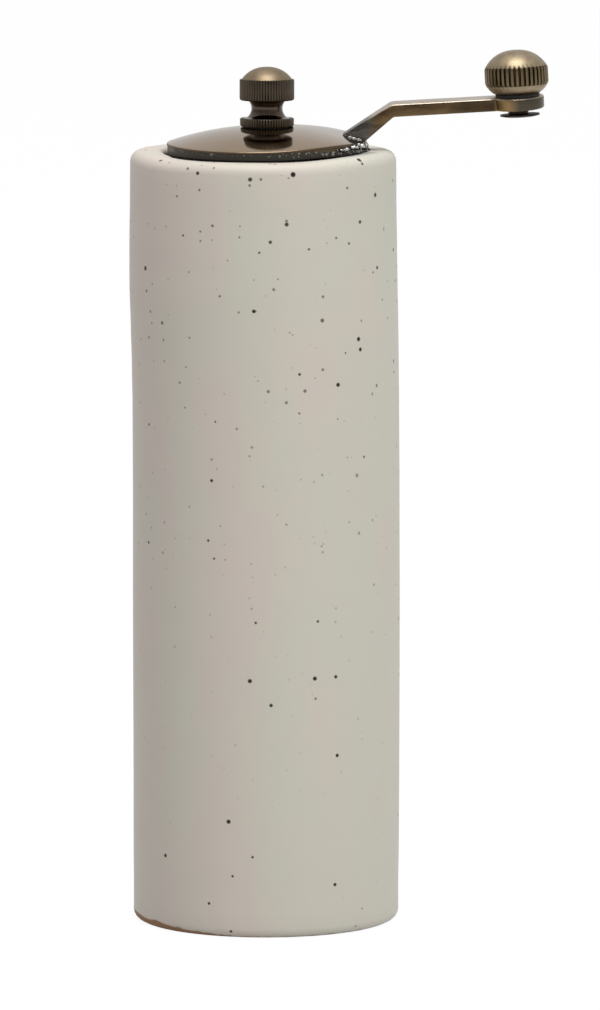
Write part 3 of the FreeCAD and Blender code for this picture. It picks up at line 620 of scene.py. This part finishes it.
# %% [markdown]
# ### Finial nut
# From the foot up: a thin flange with straight knurls, a hollow waist, the knurled band
# and a low dome. The threaded bore is open below and blind at the top.

# %% Turn the finial
finial = begin("finial_nut")
waist = bowed((4.75, 191.08), (4.4, 194.94), 0.87, 14)
crown = bowed((5.95, 200.09), (0, 202.98), -0.86, 14)
draw(finial, [(0, 199.37), (2.5, 199.37), (2.5, 188.97), (6.05, 188.97), (6.2, 189.05),
              (6.36, 189.35), (6.38, 190.74), (6.2, 190.92), (5.4, 190.97)] + waist
     + [(6.2, 195.15), (6.46, 195.45), (6.46, 199.85), (6.36, 200.04)] + crown)
spin(finial, 240)
press_grooves(finial, 240, 4, {2}, 194.99, 200.4, 6.26)
press_grooves(finial, 240, 4, {2}, 189.0, 190.9, 6.1)
done(finial, 32)

# %% [markdown]
# ### Aged brass, worn on the crests
# On a knurl the patina stays in the grooves and is rubbed off the crests. How far a point
# lies from the nut's axis tells the two apart, so that distance drives the colour.

# %% Age the finial
def worn_brass(name, bands, tones, polish, centre=(0, 0, 0), tilt=0.0):
    """Brass about an axis at centre, in mm. In each band (low, high, groove radius, crest
    radius) it is dark in the grooves and rubbed on the crests. tones are hex colours:
    two for the smooth parts, then groove and crest."""
    tree, shader = new_material(name, Metallic=1.0)
    place = add_node(tree, "TexCoord").outputs["Object"]
    own = add_node(tree, "Mapping", {"Vector": place, "Location": [c * MM for c in centre],
    "Rotation": (0, tilt, 0)},
                   vector_type="TEXTURE").outputs[0]
    flat = add_node(tree, "VectorMath", {0: own, 1: (1, 1, 0)}, operation="MULTIPLY")
    reach = add_node(tree, "VectorMath", {0: flat}, operation="LENGTH").outputs["Value"]
    height = add_node(tree, "SeparateXYZ", {0: own}).outputs["Z"]
    blotch = add_node(tree, "TexNoise", {"Vector": place, "Scale": 420.0, "Detail": 5.0,
        "Roughness": 0.6}).outputs["Fac"]
    patches = add_node(tree, "MapRange", {"Value": blotch, 1: 0.3, 2: 0.7})
    tone = add_node(tree, "Mix", {FACTOR: patches, FIRST: colour(tones[0]), SECOND: colour(tones[1])},
        data_type="RGBA")
    dullness = add_node(tree, "MapRange", {"Value": blotch, 1: 0.3, 2: 0.7, 3: polish,
        4: polish * 1.3}).outputs[0]
    for low, high, groove, crest in bands:
        rubbed = add_node(tree, "MapRange", {"Value": reach, 1: groove * MM, 2: crest * MM},
            interpolation_type="SMOOTHSTEP").outputs[0]
        uneven = add_node(tree, "Math", {0: rubbed, 1: add_node(tree, "MapRange", {"Value": blotch,
        1: 0.3, 2: 0.6, 3: 0.6, 4: 1.0}).outputs[0]},
                          operation="MULTIPLY")
        cut_tone = add_node(tree, "Mix", {FACTOR: uneven, FIRST: colour(tones[2]),
            SECOND: colour(tones[3])}, data_type="RGBA")
        above = add_node(tree, "MapRange", {"Value": height, 1: (low - 0.05) * MM, 2: (low + 0.05) * MM})
        within = add_node(tree, "MapRange", {"Value": height, 1: (high + 0.05) * MM,
            2: (high - 0.05) * MM}).outputs[0]
        inside = add_node(tree, "Math", {0: above, 1: within}, operation="MULTIPLY").outputs[0]
        tone = add_node(tree, "Mix", {FACTOR: inside, FIRST: tone, SECOND: cut_tone},
            data_type="RGBA").outputs[MIXED]
    tree.links.new(tone, shader.inputs["Base Color"])
    tree.links.new(dullness, shader.inputs["Roughness"])
    scratch = add_node(tree, "TexNoise", {"Vector": place, "Scale": 2600.0, "Detail": 2.0})
    bumped = add_node(tree, "Bump", {"Height": scratch.outputs["Fac"], "Strength": 0.15, "Distance": 0.00005})
    tree.links.new(bumped.outputs[0], shader.inputs["Normal"])
    print(f"{name}: {len(tree.nodes)} nodes")
    return bpy.data.materials[name]


finial.data.materials.append(worn_brass(
    "turned brass, dark in the knurls", [(195.0, 200.12, 6.2, 6.46), (188.9, 190.95, 6.05, 6.3)],
    ("#7D6E59", "#8E7D66", "#2D2721", "#605649"), 0.4))
finial.data.materials.append(worn_brass(
    "turned brass, darkened and still polished", [(188.9, 191.0, 6.3, 6.5)],
    ("#483F37", "#574C43", "#2A2622", "#4A4440"), 0.07))
for face in finial.data.polygons:
    if 190.95 < face.center.z / MM < 195.1 and face.center.xy.length / MM < 6.2:
        face.material_index = 1
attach(finial, "finial")
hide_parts("adjusting_finial")

# %% [markdown]
# ### Crank knob
# The knob is a squashed ball with forty round-ended slots milled into its middle. It spins
# on a rivet through the end of the crank. It is turned about its own upright axis first,
# and then tipped over onto the crank, which rises by a few degrees.

# %% Turn the knob
SLOPE = math.radians(3.2)
KNOB_PLACE = (59.1, 0, 196.388)


def onto_crank(piece):
    """Tips a piece that was made about Z onto the end of the crank, and fixes it there."""
    piece.rotation_euler = (0, -SLOPE, 0)
    piece.location = Vector(KNOB_PLACE) * MM
    bpy.ops.object.select_all(action="DESELECT")
    piece.select_set(True)
    bpy.context.view_layer.objects.active = piece
    bpy.ops.object.transform_apply(location=True, rotation=True, scale=True)


knob = begin("crank_knob_fluted")
bevel = bowed((5.15, 0.3), (7.4, 2.72), -0.3, 8)
ball = bowed((7.34, 6.6), (0, 10.58), -1.25, 22)
draw(knob, [(0, 5.25), (2.45, 5.25), (2.45, 0.25), (5.0, 0.25)] + bevel
     + [(7.5, 3.0), (7.5, 6.05), (7.45, 6.35)] + ball)
spin(knob, 320)
press_grooves(knob, 320, 8, {3, 4, 5}, 2.3, 7.4, 7.05)
done(knob, 32)
onto_crank(knob)
knob.data.materials.append(worn_brass(
    "turned brass, dark in the slots", [(2.35, 6.75, 7.06, 7.45)],
    ("#8A7B63", "#A2937A", "#3A2F25", "#78694F"), 0.36, KNOB_PLACE, -SLOPE))
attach(knob, "knob")
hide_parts("crank_knob")

# %% [markdown]
# ### Washer and rivet
# A soft black washer fills the gap between the knob and the crank, which stand a little
# askew to each other. Under it a plain headed pin holds the knob: its shank shows below the
# crank as a short neck, and its thin head has been hammered slightly off centre.

# %% Punch the washer
washer = begin("knob_washer_disc")
draw(washer, [(2.45, -0.8), (5.2, -0.8, 0.1), (5.2, 0.25, 0.1), (2.45, 0.25)], closed=True)
spin(washer, 64)
done(washer, 40)
onto_crank(washer)

# %% Turn the rivet
rivet = begin("knob_rivet_pin")
draw(rivet, [(0, -5.25), (3.4, -5.22), (4.7, -4.93, 0.12), (4.7, -4.5, 0.1), (3.1, -4.35), (2.4, -4.35),
             (2.4, 5.2), (0, 5.2)])
spin(rivet, 64)
pick(rivet, lambda at: at.z < -4.4)
bpy.ops.transform.translate(value=(0.35 * MM, 0, 0))
done(rivet, 40)
onto_crank(rivet)

# %% [markdown]
# ## Crank arm
# The arm is a bar of flat brass, bent once near the lid and forged to a round eye at the
# end. Its side is drawn first, as a closed outline with the bends rounded, then filled and
# pulled out to the bar's width. The bending has twisted it a little, so its top leans to the
# front. The long edges are broken with a small bevel, because
# sharp ones would cut the hand, and the worn bevels are what catches the light.

# %% Bend the bar
arm = begin("bent_crank_arm")
BEND_X, BEND_Z, BAR = 29.35, 194.5, 2.98
far_z = BEND_Z + (59.9 - BEND_X) * math.tan(SLOPE)
draw(arm, [(17.3, 186.75), (BEND_X, BEND_Z, 0.7), (59.9, far_z), (59.9, far_z - BAR / math.cos(SLOPE)),
           (BEND_X + 0.5, BEND_Z - BAR, 0.4), (22.7, 185.2), (22.0, 184.5), (17.2, 185.6)], closed=True)
bpy.ops.mesh.select_all(action="SELECT")
bpy.ops.mesh.edge_face_add()
bpy.ops.mesh.extrude_region_move(TRANSFORM_OT_translate={"value": (0, 0.0066, 0)})
bpy.ops.mesh.select_all(action="SELECT")
bpy.ops.transform.translate(value=(0, -0.0033, 0))
bpy.ops.mesh.normals_make_consistent(inside=False)

# %% Tip the bar towards the front
ROLL = math.radians(3.9)
for side in (-1, 1):
    pick(arm, lambda at: at.y * side > 0 and at.z > 188)
    bpy.ops.transform.translate(value=(0, 0, side * 0.0033 * math.tan(ROLL)))


def pick_edges(piece, wanted):
    """In edit mode, selects each edge for which wanted(end, end) in mm is true."""
    mesh = bmesh.from_edit_mesh(piece.data)
    mesh.select_mode = {"EDGE"}
    for edge in mesh.edges:
        edge.select = bool(wanted(edge.verts[0].co / MM, edge.verts[1].co / MM))
    mesh.select_flush_mode()
    bmesh.update_edit_mesh(piece.data)


pick_edges(arm, lambda a, b: abs(a.y - b.y) < 0.01 and min(a.z, b.z) > 184.6 and abs(a.x - b.x) > 0.05)
bpy.ops.mesh.bevel(offset=0.42 * MM, segments=3, affect="EDGES")
done(arm, 30)

# %% [markdown]
# The eye at the end is a turned disc with the same broken edges. A Boolean modifier joins
# it to the bar, and another one drills the hole for the rivet.

# %% Join the eye and drill it
def join(piece, other):
    """Fuses another closed shape into the piece."""
    bpy.ops.object.select_all(action="DESELECT")
    bpy.context.view_layer.objects.active = piece
    piece.select_set(True)
    weld = piece.modifiers.new("join", "BOOLEAN")
    weld.operation = "UNION"
    weld.solver = "EXACT"
    weld.object = other
    bpy.ops.object.modifier_apply(modifier="join")
    bpy.data.objects.remove(other, do_unlink=True)
    print(f"{piece.name}: joined, now {len(piece.data.polygons)} faces")


eye = begin("eye")
draw(eye, [(0, -BAR - 0.225), (6.2, -BAR - 0.225, 0.45), (6.2, -0.225, 0.45), (0, -0.225)])
spin(eye, 96)
done(eye)
eye.rotation_euler = (ROLL, 0, 0)
bpy.ops.object.transform_apply(location=False, rotation=True, scale=False)
onto_crank(eye)
join(arm, eye)
drill = begin("drill")
draw(drill, [(0, -6), (2.45, -6), (2.45, 3), (0, 3)])
spin(drill, 48)
done(drill)
onto_crank(drill)
cut(arm, drill)
bpy.ops.object.shade_smooth_by_angle(angle=math.radians(30))

# %% [markdown]
# ### Antique brass bar
# The bar was dipped in the same bath, then handled. Its top is pale, partly rubbed to dry
# brass and partly painted reflection of the bright studio above. Its sides stay brown-gold
# with darker streaks, darker towards the eye, where a painted golden glint sits on the
# left of the eye and grey beyond it; near the lid the heat of the soldering has turned it
# steel grey. Blender's Geometry node gives the direction that a face points in, which
# tells the top from the sides.

# %% Age the arm
tree, shader = new_material("antique brass bar", Metallic=1.0)
place = add_node(tree, "TexCoord").outputs["Object"]
facing = add_node(tree, "SeparateXYZ", {0: add_node(tree, "NewGeometry").outputs["True Normal"]}).outputs["Z"]
streaks = add_node(tree, "Mapping", {"Vector": place, "Scale": (0.25, 1, 1)})
grime = add_node(tree, "TexNoise", {"Vector": streaks, "Scale": 520.0, "Detail": 5.0,
    "Roughness": 0.65}).outputs["Fac"]
patches = add_node(tree, "MapRange", {"Value": grime, 1: 0.35, 2: 0.65})
side = add_node(tree, "Mix", {FACTOR: patches, FIRST: colour("#503F2D"), SECOND: colour("#735F44")},
    data_type="RGBA").outputs[MIXED]
# the pale top is partly rubbed brass and partly painted reflection of the bright studio above
pale_top_wear_and_sheen = add_node(tree, "Mix", {FACTOR: patches, FIRST: colour("#A69683"), SECOND: colour("#CBC0B4")},
    data_type="RGBA")
upward = add_node(tree, "MapRange", {"Value": facing, 1: 0.25, 2: 0.8})
along = add_node(tree, "SeparateXYZ", {0: place}).outputs["X"]
to_eye = add_node(tree, "MapRange", {"Value": along, 1: 0.0425, 2: 0.0465, 3: 0.0, 4: 0.5})
# painted reflection: a golden glint on the left of the eye, with grey beyond it
painted_glint_start = add_node(tree, "MapRange", {"Value": along, 1: 0.0535, 2: 0.0545})
past_painted_glint = add_node(tree, "MapRange", {"Value": along, 1: 0.0568, 2: 0.0595})
darker_to_eye = add_node(tree, "Mix", {FACTOR: to_eye, FIRST: side, SECOND: colour("#2E2A24")}, data_type="RGBA")
eye_painted_glint = add_node(tree, "Mix", {FACTOR: painted_glint_start, FIRST: darker_to_eye, SECOND: colour("#8D7450")},
    data_type="RGBA")
glint_and_grey = add_node(tree, "Mix", {FACTOR: past_painted_glint, FIRST: eye_painted_glint, SECOND: colour("#504A3F")},
    data_type="RGBA")
bar = add_node(tree, "Mix", {FACTOR: upward, FIRST: glint_and_grey, SECOND: pale_top_wear_and_sheen}, data_type="RGBA").outputs[MIXED]
scorched_line = add_node(tree, "Math", {0: along, 1: add_node(tree, "Math", {0: grime, 1: 0.004},
    operation="MULTIPLY").outputs[0]}, operation="ADD")
scorched = add_node(tree, "MapRange", {"Value": scorched_line, 1: 0.028, 2: 0.0252})
grey_side = add_node(tree, "Mix", {FACTOR: patches, FIRST: colour("#45423D"), SECOND: colour("#77746D")},
    data_type="RGBA")
grey_top = add_node(tree, "Mix", {FACTOR: patches, FIRST: colour("#35332F"), SECOND: colour("#6E6B65")},
    data_type="RGBA")
grey = add_node(tree, "Mix", {FACTOR: upward, FIRST: grey_side, SECOND: grey_top}, data_type="RGBA")
tone = add_node(tree, "Mix", {FACTOR: scorched, FIRST: bar, SECOND: grey}, data_type="RGBA").outputs[MIXED]
tree.links.new(tone, shader.inputs["Base Color"])
dry = add_node(tree, "MapRange", {"Value": grime, 1: 0.3, 2: 0.7, 3: 0.24, 4: 0.42}).outputs[0]
tree.links.new(dry, shader.inputs["Roughness"])
scratch = add_node(tree, "TexNoise", {"Vector": streaks, "Scale": 1800.0, "Detail": 3.0})
bumped = add_node(tree, "Bump", {"Height": scratch.outputs["Fac"], "Strength": 0.25, "Distance": 0.00006})
tree.links.new(bumped.outputs[0], shader.inputs["Normal"])
arm.data.materials.append(bpy.data.materials["antique brass bar"])
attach(arm, "crank")
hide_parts("crank_arm")
print("arm brass:", len(tree.nodes), "nodes")

# %% [markdown]
# ### Blackened rivet and black washer
# Nobody rubs the rivet, so it keeps all of the dip's black, with a little brown where the
# knob's turning has worn its shank. The washer is black moulded plastic, matte and even.

# %% Blacken the rivet
def two_toned(name, tones, grain_mm, roughness, relief_mm, **values):
    """Two hex tones mixed by a noise of that grain, which also shifts the roughness between
    two values and gives the surface its fine relief."""
    tree, shader = new_material(name, **values)
    place = add_node(tree, "TexCoord").outputs["Object"]
    grain = add_node(tree, "TexNoise", {"Vector": place, "Scale": 1 / (grain_mm * MM),
        "Detail": 4.0}).outputs["Fac"]
    patches = add_node(tree, "MapRange", {"Value": grain, 1: 0.38, 2: 0.62})
    tone = add_node(tree, "Mix", {FACTOR: patches, FIRST: colour(tones[0]), SECOND: colour(tones[1])},
        data_type="RGBA")
    dull = add_node(tree, "MapRange", {"Value": grain, 1: 0.3, 2: 0.7, 3: roughness[0], 4: roughness[1]})
    relief = add_node(tree, "Bump", {"Height": grain, "Strength": 0.3, "Distance": relief_mm * MM})
    tree.links.new(tone.outputs[MIXED], shader.inputs["Base Color"])
    tree.links.new(dull.outputs[0], shader.inputs["Roughness"])
    tree.links.new(relief.outputs[0], shader.inputs["Normal"])
    print(f"{name}: {len(tree.nodes)} nodes")
    return bpy.data.materials[name]


rivet_brass = two_toned("brass, black from the dip", ("#2B2724", "#4C4035"), 1.4, (0.3, 0.5), 0.02,
    Metallic=1.0)
rivet.data.materials.append(rivet_brass)
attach(rivet, "knob")
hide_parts("knob_rivet")

# %% Finish the washer
# moulded acetal: deep black, matte, with the faint grain of the mould
washer.data.materials.append(two_toned("black moulded acetal", ("#121110", "#1D1B1A"), 1.1, (0.6, 0.75),
    0.05, IOR=1.48))
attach(washer, "crank")
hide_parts("knob_washer")

# %% [markdown]
# ### Finial washer
# A thin black disc keeps the finial from grinding on the lid. It is a little smaller than
# the finial's flange, so all that shows of it is a dark line.

# %% Punch the finial washer
pad = begin("finial_washer_disc")
draw(pad, [(2.55, 188.7), (5.6, 188.7, 0.05), (5.6, 188.96, 0.05), (2.55, 188.96)], closed=True)
spin(pad, 64)
done(pad, 40)
pad.data.materials.append(bpy.data.materials["black moulded acetal"])
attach(pad, "finial")
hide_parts("finial_washer")

# %% [markdown]
# ## Drive shaft
# With the lid off, the shaft stands in the mouth for all to see: a drawn square bar, with
# a thread cut on its round ends. The bar is a cube with broken edges. For the thread, a
# small triangle is drawn and closed, and a Screw modifier winds it up round the axis with
# the thread's own pitch.

# %% Cut the bar
box_low, box_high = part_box("drive_shaft")
PITCH = 0.8
SQUARE_FOOT, SQUARE_TOP = 8.5, 186.98
bpy.ops.object.select_all(action="DESELECT")
bpy.ops.mesh.primitive_cube_add(size=5 * MM, location=(0, 0, 0))
shaft = bpy.context.object
shaft.name = "square_drive_shaft"
bpy.ops.object.mode_set(mode="EDIT")
for side, level in ((-1, SQUARE_FOOT), (1, SQUARE_TOP)):
    pick(shaft, lambda at: at.z * side > 0)
    bpy.ops.transform.translate(value=(0, 0, (level - 2.5 * side) * MM))
bpy.ops.mesh.select_all(action="SELECT")
bpy.ops.mesh.bevel(offset=0.25 * MM, segments=2, affect="EDGES")
done(shaft)


# %% Wind the threads
def wind_thread(low, high):
    """A round core with a thread on it between two heights, in mm."""
    core = begin("core")
    draw(core, [(0, low), (1.7, low), (2.05, low + 0.35), (2.05, high - 0.35), (1.7, high), (0, high)])
    spin(core, 32)
    done(core)
    turns = int((high - low - PITCH) / PITCH)
    thread = begin("thread")
    draw(thread, [(1.9, low + 0.05), (2.45, low + 0.05 + PITCH / 2), (1.9, low + PITCH)], closed=True)
    bpy.ops.object.mode_set(mode="OBJECT")
    wound = thread.modifiers.new("wound", "SCREW")
    wound.axis = "Z"
    wound.screw_offset = PITCH * MM
    wound.iterations = turns
    wound.steps = 32
    wound.render_steps = 32
    bpy.ops.object.modifier_apply(modifier="wound")
    bpy.ops.object.mode_set(mode="EDIT")
    bpy.ops.mesh.select_all(action="SELECT")
    bpy.ops.mesh.remove_doubles(threshold=1e-7)
    bpy.ops.mesh.select_all(action="DESELECT")
    bpy.ops.mesh.select_non_manifold()
    bpy.ops.mesh.edge_face_add()
    done(thread)
    return core, thread


made = [shaft, *wind_thread(box_low.z / MM, SQUARE_FOOT + 0.1),
    *wind_thread(SQUARE_TOP - 0.1, box_high.z / MM)]
bpy.ops.object.select_all(action="DESELECT")
for piece in made:
    piece.select_set(True)
bpy.context.view_layer.objects.active = shaft
bpy.ops.object.join()
# drawn stainless steel: bright, with a satin grain from the die
shaft.data.materials.append(two_toned("drawn stainless steel", ("#A9A9A6", "#BEBEBB"), 0.9, (0.24, 0.36),
    0.01, Metallic=1.0))
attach(shaft, "drive")
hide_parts("drive_shaft")
print("shaft:", len(shaft.data.polygons), "faces")

# %% [markdown]
# ## The pieces inside
# The rest of the mill is hidden until the lid comes off or the mill is turned over. Their
# mechanical shapes are right as they are, so only the materials are new: silicone rubber,
# sintered ceramic that is white and slightly gritty, zinc-plated screws with their faint
# blue, spring wire, and raw brass under the lid, where no patina bath reached it.

# %% Finish the pieces inside
INSIDE = {
    "black moulded acetal": ("mouth_collar", "mill_housing", "retaining_ring", "shaft_bridge",
    "lid_bearing_ring"),
    "grey silicone rubber": ("collar_gasket", "housing_sleeve"),
    "sintered alumina": ("grinding_ring", "grinding_cone"),
    "drawn stainless steel": ("spring_seat", "nut_washer"),
    "zinc-plated steel": ("retainer_screws", "bridge_screws", "lock_nut"),
    "stainless spring wire": ("thrust_spring",),
    "raw brass": ("lid_skirt", "square_bush"),
}
two_toned("grey silicone rubber", ("#474745", "#525250"), 1.6, (0.6, 0.75), 0.04, IOR=1.41)
two_toned("sintered alumina", ("#DCD8CD", "#E9E6DD"), 0.5, (0.5, 0.65), 0.05, IOR=1.76)
two_toned("zinc-plated steel", ("#A4A9AC", "#BFC3C4"), 0.8, (0.28, 0.42), 0.02, Metallic=1.0)
two_toned("stainless spring wire", ("#85857F", "#A6A6A1"), 0.6, (0.3, 0.45), 0.02, Metallic=1.0)
two_toned("raw brass", ("#9A7A45", "#B9965A"), 1.4, (0.3, 0.45), 0.02, Metallic=1.0)
for name, nodes in INSIDE.items():
    for node in nodes:
        for material_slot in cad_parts[node].material_slots:
            material_slot.link = "OBJECT"
            material_slot.material = bpy.data.materials[name]
print("pieces inside:", sum(len(nodes) for nodes in INSIDE.values()))

# %% [markdown]
# ## Solder
# The arm is soft-soldered to the lid. The solder was wiped round the arm's foot while it
# was pasty, and it ran along the edge of the lid in bright lumps. Small balls are set
# where it ran, joined, remeshed into one skin that a Smooth modifier lets slump, and
# roughened with a Displace modifier.

# %% Run the solder
runs = []
# across, to the back, up and radius of each lump along the rim, in millimetres
for x, y, z, radius in (
        (16.6, -17.2, 183.9, 0.3), (17.4, -16.3, 183.8, 0.45), (18.1, -15.6, 183.8, 0.55),
        (18.7, -14.9, 183.9, 0.6),
        (19.3, -14.2, 183.9, 0.4), (20.0, -13.2, 184.2, 0.5), (20.6, -12.2, 184.2, 0.62),
        (21.2, -11.2, 184.2, 0.5),
        (21.6, -10.4, 184.8, 0.45), (21.7, -10.2, 184.1, 0.6), (22.1, -9.3, 184.2, 0.45),
        (22.4, -8.4, 184.4, 0.7),
        (22.7, -7.2, 184.2, 0.6), (22.8, -6.4, 184.8, 0.5), (22.9, -5.6, 184.1, 0.75),
        (23.0, -4.7, 184.5, 0.7),
        (22.9, -3.9, 183.9, 0.8), (22.0, -3.8, 184.8, 0.4), (23.3, -2.8, 184.0, 0.7),
        (23.4, -1.2, 184.1, 0.6),
        (23.4, 0.4, 184.0, 0.65), (23.3, 1.8, 184.1, 0.6), (22.9, 3.6, 184.2, 0.7), (22.5, 5.2, 184.4, 0.5)):
    runs.append((x, y, z, radius))
# a thin fillet along both sides of the foot and across its end
for i in range(19):
    along_foot = 18.4 + 0.21 * i
    for side in (-1, 1):
        runs.append((along_foot, side * 3.36, dome_z(along_foot) - 0.02 + 0.05 * math.sin(1.3 * i), 0.24))
for i in range(20):
    runs.append((17.5, -2.7 + 0.29 * i, dome_z(17.3) - 0.3, 0.2))
bpy.ops.object.select_all(action="DESELECT")
balls = []
for x, y, z, radius in runs:
    bpy.ops.mesh.primitive_ico_sphere_add(subdivisions=2, radius=radius * MM,
        location=(x * MM, y * MM, z * MM))
    balls.append(bpy.context.object)
for ball in balls:
    ball.select_set(True)
bpy.ops.object.join()
solder = bpy.context.object
solder.name = "solder_run"
bpy.ops.object.transform_apply(location=True, rotation=True, scale=True)
skin = solder.modifiers.new("skin", "REMESH")
skin.mode = "VOXEL"
skin.voxel_size = 0.16 * MM
bpy.ops.object.modifier_apply(modifier="skin")
slump = solder.modifiers.new("slump", "SMOOTH")
slump.iterations = 4
bpy.ops.object.modifier_apply(modifier="slump")
lumps = bpy.data.textures.new("lumps", "CLOUDS")
lumps.noise_scale = 0.9 * MM
lumpy = solder.modifiers.new("lumpy", "DISPLACE")
lumpy.texture = lumps
lumpy.texture_coords = "LOCAL"
lumpy.strength = 0.3 * MM
bpy.ops.object.modifier_apply(modifier="lumpy")
bpy.ops.object.shade_smooth()
warp(solder, foot_too=True)
print(f"solder: {len(runs)} balls, {len(solder.data.polygons)} faces")

# %% [markdown]
# Solder is a tin alloy: pale, silvery and rather bright, with a dull film in the hollows.

# %% Finish the solder
tree, shader = new_material("soft solder", Metallic=1.0)
place = add_node(tree, "TexCoord").outputs["Object"]
film = add_node(tree, "TexNoise", {"Vector": place, "Scale": 900.0, "Detail": 4.0}).outputs["Fac"]
patches = add_node(tree, "MapRange", {"Value": film, 1: 0.42, 2: 0.58})
tone = add_node(tree, "Mix", {FACTOR: patches, FIRST: colour("#5B5A57"), SECOND: colour("#DADAD6")},
    data_type="RGBA")
tree.links.new(tone.outputs[MIXED], shader.inputs["Base Color"])
dull = add_node(tree, "MapRange", {"Value": film, 1: 0.3, 2: 0.7, 3: 0.42, 4: 0.18})
tree.links.new(dull.outputs[0], shader.inputs["Roughness"])
solder.data.materials.append(bpy.data.materials["soft solder"])
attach(solder, "crank")
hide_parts("arm_solder")
print("solder finished")

# %% [markdown]
# ## Finish
# The last line brings the view layer up to date.

# %% Finish
bpy.context.view_layer.update()
